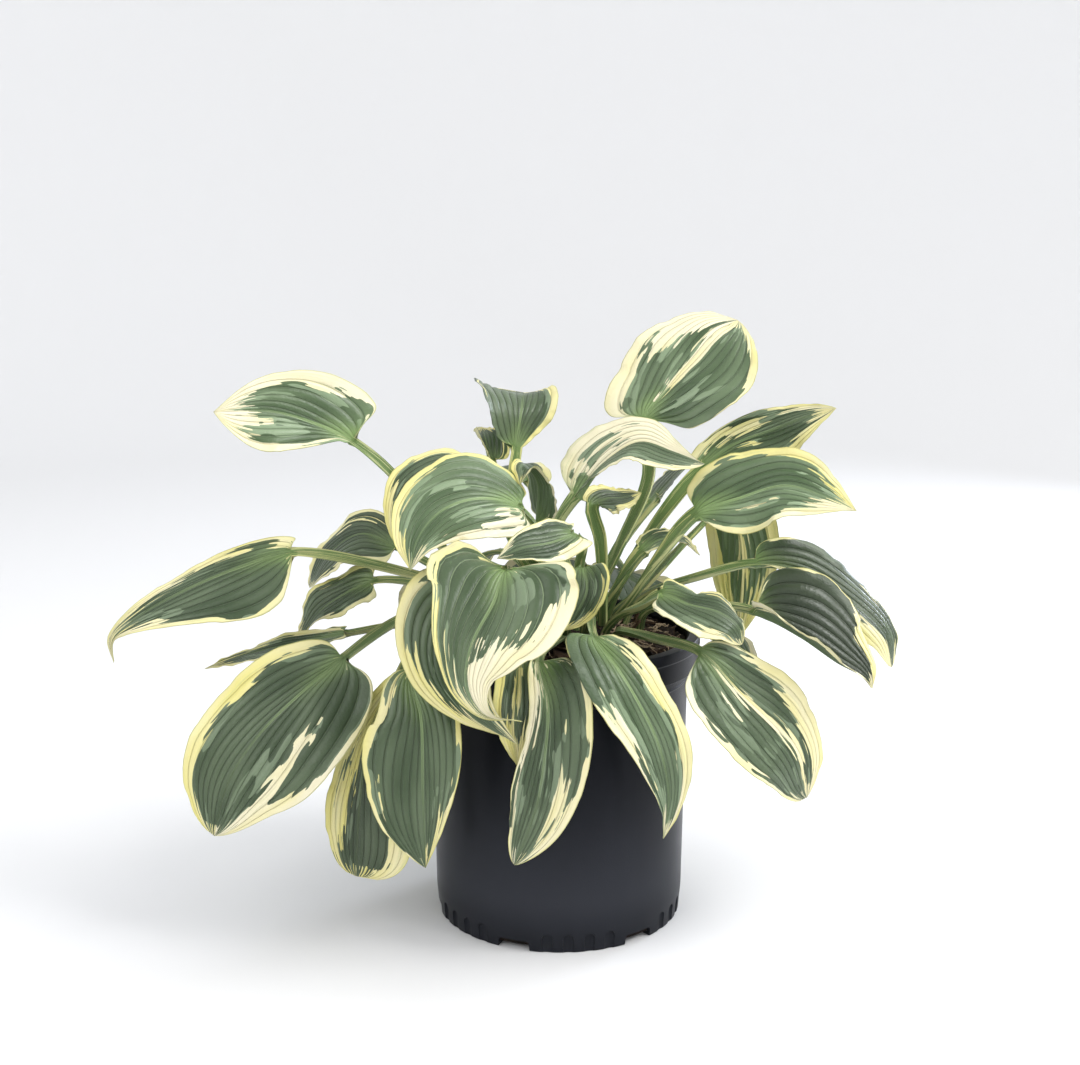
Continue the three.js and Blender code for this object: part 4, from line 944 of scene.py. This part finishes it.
def make_bark_material():
    m = Shade("bark_chips")
    tint, grain, stain = m.attribute("chip_tint")
    fibre = m.noise(m.vector(grain * 900, stain * 90, tint), 1.0, 4.0)
    colour = m.blend(tint, BARK_DARK, BARK_RED)
    colour = m.blend(m.ramp(fibre, 0.4, 0.7, 0.0, 0.6), colour, BARK_FIBRE)
    m.set(Base_Color=colour, Roughness=0.9, Specular_IOR_Level=0.25)
    m.bump(fibre + m.noise(m.place(), 700.0, 4.0), 0.0004)
    return m.material


def make_fibre_material(name, dark, light):
    m = Shade(name)
    x, y, z = m.parts(m.place())
    run = m.noise(m.vector(x * 1600, y * 1600, z * 90), 1.0, 3.0)
    m.set(Base_Color=m.blend(m.ramp(run, 0.35, 0.65), dark, light), Roughness=0.85, Specular_IOR_Level=0.3)
    m.bump(run, 0.0005)
    return m.material


leaf_material = make_leaf_material()
pot_material = make_pot_material()
soil_material = make_soil_material()
bark_material = make_bark_material()
root_material = make_fibre_material("pale_roots", (0.20, 0.14, 0.085), (0.48, 0.37, 0.25))
dry_material = make_fibre_material("dry_stalk", (0.055, 0.032, 0.020), (0.22, 0.14, 0.085))
floor_shade = Shade("plain_floor")
floor_shade.set(Base_Color=(0.84, 0.84, 0.845, 1), Roughness=0.75, Specular_IOR_Level=0.25)


# Pot


def body_radius(z):
    return mix((BODY_FOOT_RADIUS, BODY_TOP_RADIUS), (z - FOOT_HEIGHT) / (POT_HEIGHT - FOOT_HEIGHT))


def pot_profile():
    """Radius and height round the wall, from the underside to the floor, with rounded corners."""
    band_foot = POT_HEIGHT - RIM_BAND
    band_out = RIM_RADIUS - RIM_STEP_OUT
    step_foot = POT_HEIGHT - RIM_STEP
    shelf = POT_HEIGHT - 2 * WALL
    rib = POT_HEIGHT - RIB_DOWN
    corners = [
        (FOOT_RADIUS, 0, 1.6), (FOOT_RADIUS + FOOT_FLARE, FOOT_HEIGHT - 7, 4.0),
        (body_radius(FOOT_HEIGHT + 2), FOOT_HEIGHT + 2, 4.0), (body_radius(rib), rib - 1.2, 0.4),
        (body_radius(rib) + RIB_OUT, rib - 0.5, 0.3), (body_radius(rib) + RIB_OUT, rib + 0.5, 0.3),
        (body_radius(rib), rib + 1.2, 0.4), (body_radius(shelf), shelf, 0.3), (band_out - WALL, shelf, 0.3),
        (band_out - WALL, band_foot, 0.4), (band_out, band_foot, 0.5), (band_out, step_foot - 1.0, 0.5),
        (RIM_RADIUS, step_foot, 0.5), (RIM_RADIUS, POT_HEIGHT, 1.5),
        (body_radius(POT_HEIGHT) + 0.2, POT_HEIGHT, 1.5), (body_radius(shelf) - WALL, shelf - 1, 1.5),
        (body_radius(INNER_WALL_FOOT) - WALL, INNER_WALL_FOOT, 2.0),
        (INNER_FOOT_RADIUS, INNER_FOOT_TOP, 2.0), (INNER_FOOT_RADIUS, FLOOR, 1.0),
    ]
    places = [(0, 0)] + [corner[:2] for corner in corners] + [(0, FLOOR)]
    places = [np.array(place, float) for place in places]
    line = []
    for (_, _, size), before, here, after in zip(corners, places, places[1:], places[2:]):
        size = min(size, 0.45 * np.linalg.norm(before - here), 0.45 * np.linalg.norm(after - here))
        a, b = here + unit(before - here) * size, here + unit(after - here) * size
        line += [(1 - t) ** 2 * a + 2 * t * (1 - t) * here + t**2 * b for t in (0, 1 / 3, 2 / 3, 1)]
    return line


def notch_rings():
    """The notch's opening, with rounded upper corners, at the outer and the inner end of its cutter."""
    half, top, r = NOTCH_WIDTH / 2, NOTCH_HEIGHT, NOTCH_CORNER
    line = [(-half - 1, -5), (half + 1, -5)]
    for side, start in ((1, 0), (-1, 90)):
        for turn in (0, 18, 36, 54, 72, 90):
            c, s = direction(start + turn)
            line.append((side * (half - r) + r * c, top - r + r * s))
    return [[(x, reach, z) for x, z in line] for reach in (FOOT_RADIUS + 5, NOTCH_INNER_RADIUS)]


def flute_rings():
    """A flute with a round bottom and a round top, from the top down."""
    half, face, across = GROOVE_WIDTH / 2, FOOT_RADIUS + FOOT_FLARE, 12
    ends = [direction(a) for a in (82, 70, 54, 36, 18, 0)]
    rings = []
    for share, z in [(c, GROOVE_HEIGHT - half + half * s) for c, s in ends] + [(1, -3.0)]:
        wide = half * share
        turn = [math.pi * k / across for k in range(across + 1)]
        dip = [(wide * math.cos(a), face - GROOVE_DEPTH * share**0.6 * math.sin(a) ** 0.7, z) for a in turn]
        rings.append(dip + [(-wide, face + 4, z), (wide, face + 4, z)])
    return rings


def make_cutters():
    """The tools that cut the notches and the flutes between them, as one piece."""
    step, middle = 360 / NOTCHES, (GROOVES_BETWEEN - 1) / 2
    cuts = []
    for bearing in [NOTCH_FIRST_DEG + n * step for n in range(NOTCHES)]:
        cuts.append((notch_rings(), bearing))
        for g in range(GROOVES_BETWEEN):
            cuts.append((flute_rings(), bearing + step / 2 + (g - middle) * GROOVE_STEP_DEG))
    points, faces = [], []
    for rings, bearing in cuts:
        c, s = direction(bearing)
        faces += tube_faces(len(rings), len(rings[0]), len(points))
        points += [(r * c - x * s, r * s + x * c, z) for ring in rings for x, r, z in ring]
    return new_piece("pot_cutters", points, faces, pot_material)


def make_pot():
    profile = pot_profile()[::-1]
    points = [(0, 0, FLOOR)] + turned(profile, POT_SIDES) + [(0, 0, 0)]
    last = len(points) - 1
    faces = disc_faces(len(profile), POT_SIDES) + tip_faces(last - POT_SIDES, POT_SIDES, last)
    pot = new_piece("pot_fine", points, faces, pot_material)
    cutters = make_cutters()
    cut = pot.modifiers.new("cut", "BOOLEAN")
    cut.operation = "DIFFERENCE"
    cut.solver = "EXACT"
    cut.object = cutters
    made = bpy.data.meshes.new_from_object(pot.evaluated_get(bpy.context.evaluated_depsgraph_get()))
    pot.modifiers.clear()
    pot.data = made
    bpy.data.objects.remove(cutters)
    sharpen(made, POT_SHARP_DEG)
    return pot


# Soil and dry stalks


def bumps(x, y, rng, count, shortest, longest):
    """A sum of plane waves with random directions, about -1 to 1."""
    total = np.zeros_like(x)
    for _ in range(count):
        a = rng.uniform(0, TURN)
        k = TURN / rng.uniform(shortest, longest)
        total += np.sin(k * (x * math.cos(a) + y * math.sin(a)) + rng.uniform(0, 6.28))
    return total / math.sqrt(count)


def soil_relief(x, y):
    rng = random.Random(5)
    return sum(height * bumps(x, y, rng, *waves) for height, *waves in SOIL_WAVES)


def ground(x, y):
    return float(soil_height(x, y)) + float(soil_relief(np.array([x]), np.array([y]))[0])


def make_soil():
    inside = body_radius(SOIL_EDGE) - WALL - SOIL_GAP
    radii = np.linspace(0, inside, SOIL_RINGS + 1)[1:, None]
    turn = np.array(circle(SOIL_SIDES))
    x, y = radii * np.cos(turn), radii * np.sin(turn)
    z = soil_height(x, y) + soil_relief(x, y) - SOIL_SINK
    lower = [
        (body_radius(INNER_WALL_FOOT) - WALL - SOIL_GAP, INNER_WALL_FOOT),
        (INNER_FOOT_RADIUS - SOIL_GAP, INNER_FOOT_TOP), (INNER_FOOT_RADIUS - SOIL_GAP, FLOOR + SOIL_GAP),
    ]
    points = [(0, 0, soil_height(0, 0) - 1)] + np.stack([x, y, z], -1).reshape(-1, 3).tolist()
    points += turned(lower, SOIL_SIDES)
    faces = disc_faces(SOIL_RINGS + len(lower), SOIL_SIDES)
    faces.append(range(len(points) - SOIL_SIDES, len(points))[::-1])
    return new_piece("soil_fine", points, faces, soil_material)


def surface_spot(rng):
    """A random place on the soil, clear of the stalks."""
    while True:
        r, a = CHIP_REACH * math.sqrt(rng.random()), rng.uniform(0, TURN)
        x, y = r * math.cos(a), r * math.sin(a)
        if all(math.hypot(x - root[0], y - root[1]) > STALK_CLEARANCE for root in stalk_roots):
            return x, y, ground(x, y) - SOIL_SINK


def make_chips(name, count, sizes, seed):
    """Bark chips and crumbs: uneven lumps, flat or long, each with its own tint."""
    rng = random.Random(seed)
    ball = bmesh.new()
    bmesh.ops.create_icosphere(ball, subdivisions=1, radius=1)
    base = np.array([p.co for p in ball.verts])
    base_faces = [[p.index for p in f.verts] for f in ball.faces]
    ball.free()
    points, faces, tints = [], [], []
    for k in range(count):
        x, y, z = surface_spot(rng)
        size = [rng.uniform(*s) for s in sizes]
        shape = base * (1 + 0.45 * np.array([[rng.uniform(-1, 1)] for _ in base]))
        shape = np.sign(shape) * np.abs(shape) ** 0.6 * np.array(size) / 2
        heading, tilt, lean = rng.uniform(0, 6.28), rng.gauss(0, 0.25), rng.gauss(0, 0.3)
        turn = np.array(Euler((lean, tilt, heading)).to_matrix())
        points.append(shape @ turn.T + np.array([x, y, z + size[2] * 0.2]))
        faces += [[len(base) * k + i for i in face] for face in base_faces]
        tints.append([np.full(len(base), rng.random() ** 2), shape[:, 1] * MM, shape[:, 0] * MM])
    attributes = {"chip_tint": np.concatenate(tints, 1)}
    piece = new_piece(name, np.concatenate(points), faces, bark_material, attributes)
    sharpen(piece.data, CHIP_SHARP_DEG)
    return piece


def add_tube(points, faces, path, radii, sides=7):
    """Adds a closed tube round a path."""
    path = np.array(path, float)
    along = unit(np.gradient(path, axis=0))
    side = unit(np.cross(along, np.array([0.31, 0.22, 0.92])))
    up = np.cross(side, along)
    faces += tube_faces(len(path), sides, len(points))
    for p, r, s, t in zip(path, radii, side, up):
        points += [p + r * (s * math.cos(a) + t * math.sin(a)) for a in circle(sides)]


def make_roots():
    """Pale fibrous roots that lie on the soil by the crown."""
    rng = random.Random(17)
    points, faces = [], []
    for k in range(ROOTS):
        bearing = rng.uniform(-70, 60) if k < ROOTS_AT_RIGHT else rng.uniform(0, 360)
        x, y = by_crown(rng.uniform(30, 62), bearing)
        heading, path = math.radians(bearing + rng.uniform(-60, 60)), []
        for _ in range(rng.randint(7, 13)):
            heading += rng.gauss(0, 0.42)
            x, y = x + ROOT_STEP * math.cos(heading), y + ROOT_STEP * math.sin(heading)
            if math.hypot(x, y) > ROOT_REACH:
                break
            path.append((x, y, ground(x, y) - 0.4 + abs(rng.gauss(0, 1.0))))
        if len(path) < 4:
            continue
        thick = rng.uniform(0.45, 1.0)
        add_tube(points, faces, path, [thick * (1 - 0.6 * i / len(path)) for i in range(len(path))])
    return new_piece("soil_roots", points, faces, root_material)


def make_stub(row, seed):
    """A dry stalk: a ribbed, shrunken tube whose broken end is split into fibres."""
    rng = random.Random(seed)
    path, left = path_points(row)
    line = Line(path, 0, 1)
    ribs = [rng.uniform(0.75, 1.12) for _ in range(STUB_SIDES)]
    points, faces = [], tube_faces(STUB_RINGS, STUB_SIDES)
    for t in [k / (STUB_RINGS - 1) for k in range(STUB_RINGS)]:
        point, along, side, up = place_on(line, 0.93 * t, left, 30 * t)
        wide = mix(STUB_WIDE, t) * (1 + 0.07 * math.sin(9 * t + seed))
        for a, rib in zip(circle(STUB_SIDES), ribs):
            r = wide * rib * (1 - 0.25 * t * rng.random())
            lift = 1.6 * rng.random() if t == 1 else 0
            points.append(point + side * r * math.cos(a) + up * 0.75 * r * math.sin(a) + along * lift)
    end, along, side, up = place_on(line, 0.9, left, 0.0)
    for k, a in enumerate(circle(STUB_FIBRES)):
        start = end + (side * math.cos(a) + up * math.sin(a)) * STUB_WIDE[1] * 0.7
        run = along + side * rng.gauss(0, 0.16) + up * rng.gauss(0, 0.16)
        long = line.length * rng.uniform(0.05, 0.1)
        fibre = [start + run * long * i / 4 + side * 0.3 * math.sin(i + k) for i in range(5)]
        add_tube(points, faces, fibre, FIBRE_RADII, 5)
    return new_piece(row.name + "_fine", points, faces, dry_material)


# Assembly

stalk_roots = [root_point(row, 0) for row in LEAVES + STUBS]

for number, row in enumerate(LEAVES):
    piece = leaf_piece(row, number + 1)
    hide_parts("leaf_" + row.name)
    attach(piece, "root")

pot = make_pot()
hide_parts("pot")
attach(pot, "root")

soil = make_soil()
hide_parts("soil")
chips = make_chips("soil_chips", CHIPS, CHIP_SIZES, 3)
crumbs = make_chips("soil_crumbs", CRUMBS, CRUMB_SIZES, 4)
roots = make_roots()
for piece in (soil, chips, crumbs, roots):
    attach(piece, "root")

for number, row in enumerate(STUBS):
    piece = make_stub(row, 40 + number)
    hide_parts(row.name)
    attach(piece, "root")


# Floor, light and camera


def make_stage():
    """A floor that sweeps up all round into a plain wall."""
    profile = [(STAGE_FLAT * k / 6, 0) for k in range(1, 7)]
    for k in range(1, 17):
        c, s = direction(90 * k / 16)
        profile.append((STAGE_FLAT + STAGE_SWEEP * s, STAGE_SWEEP * (1 - c)))
    profile.append((STAGE_FLAT + STAGE_SWEEP, STAGE_TOP))
    points = np.array([(0, 0, 0)] + turned(profile, STAGE_SIDES)) / MM
    new_piece("floor", points, disc_faces(len(profile), STAGE_SIDES), floor_shade.material)


def add_light(name, place, target, size, power, colour):
    data = bpy.data.lights.new(name, "AREA")
    data.shape = "DISK"
    data.size = size
    data.energy = power
    data.color = colour
    lamp = new_object(name, data)
    lamp.visible_camera = False
    lamp.location = place
    lamp.rotation_euler = (Vector(target) - Vector(place)).to_track_quat("-Z", "Y").to_euler()


make_stage()
add_light("key", (1.8, -0.5, 2.2), (0, 0, 0.25), 1.7, 56, (1.0, 0.995, 0.985))
add_light("fill", (-1.5, -1.5, 1.9), (0, 0, 0.25), 2.2, 20, (1.0, 0.99, 0.985))
add_light("side", (1.45, 1.35, 0.75), (0.05, 0, 0.18), 0.7, 16, (0.80, 0.86, 1.0))
world = bpy.data.worlds.new("soft_surround")
world.use_nodes = True
surround = world.node_tree.nodes["Background"].inputs
surround["Color"].default_value = (0.97, 0.985, 1.0, 1)
surround["Strength"].default_value = 0.79
bpy.context.scene.world = world
bpy.context.scene.view_settings.view_transform = "Standard"

lens = bpy.data.cameras.new("camera")
lens.sensor_width = 36
lens.lens = 54.4
camera = new_object("camera", lens)
camera.location = CAMERA_PLACE
camera.rotation_euler = (math.pi / 2 - CAMERA_TILT, 0, 0)
bpy.context.scene.camera = camera
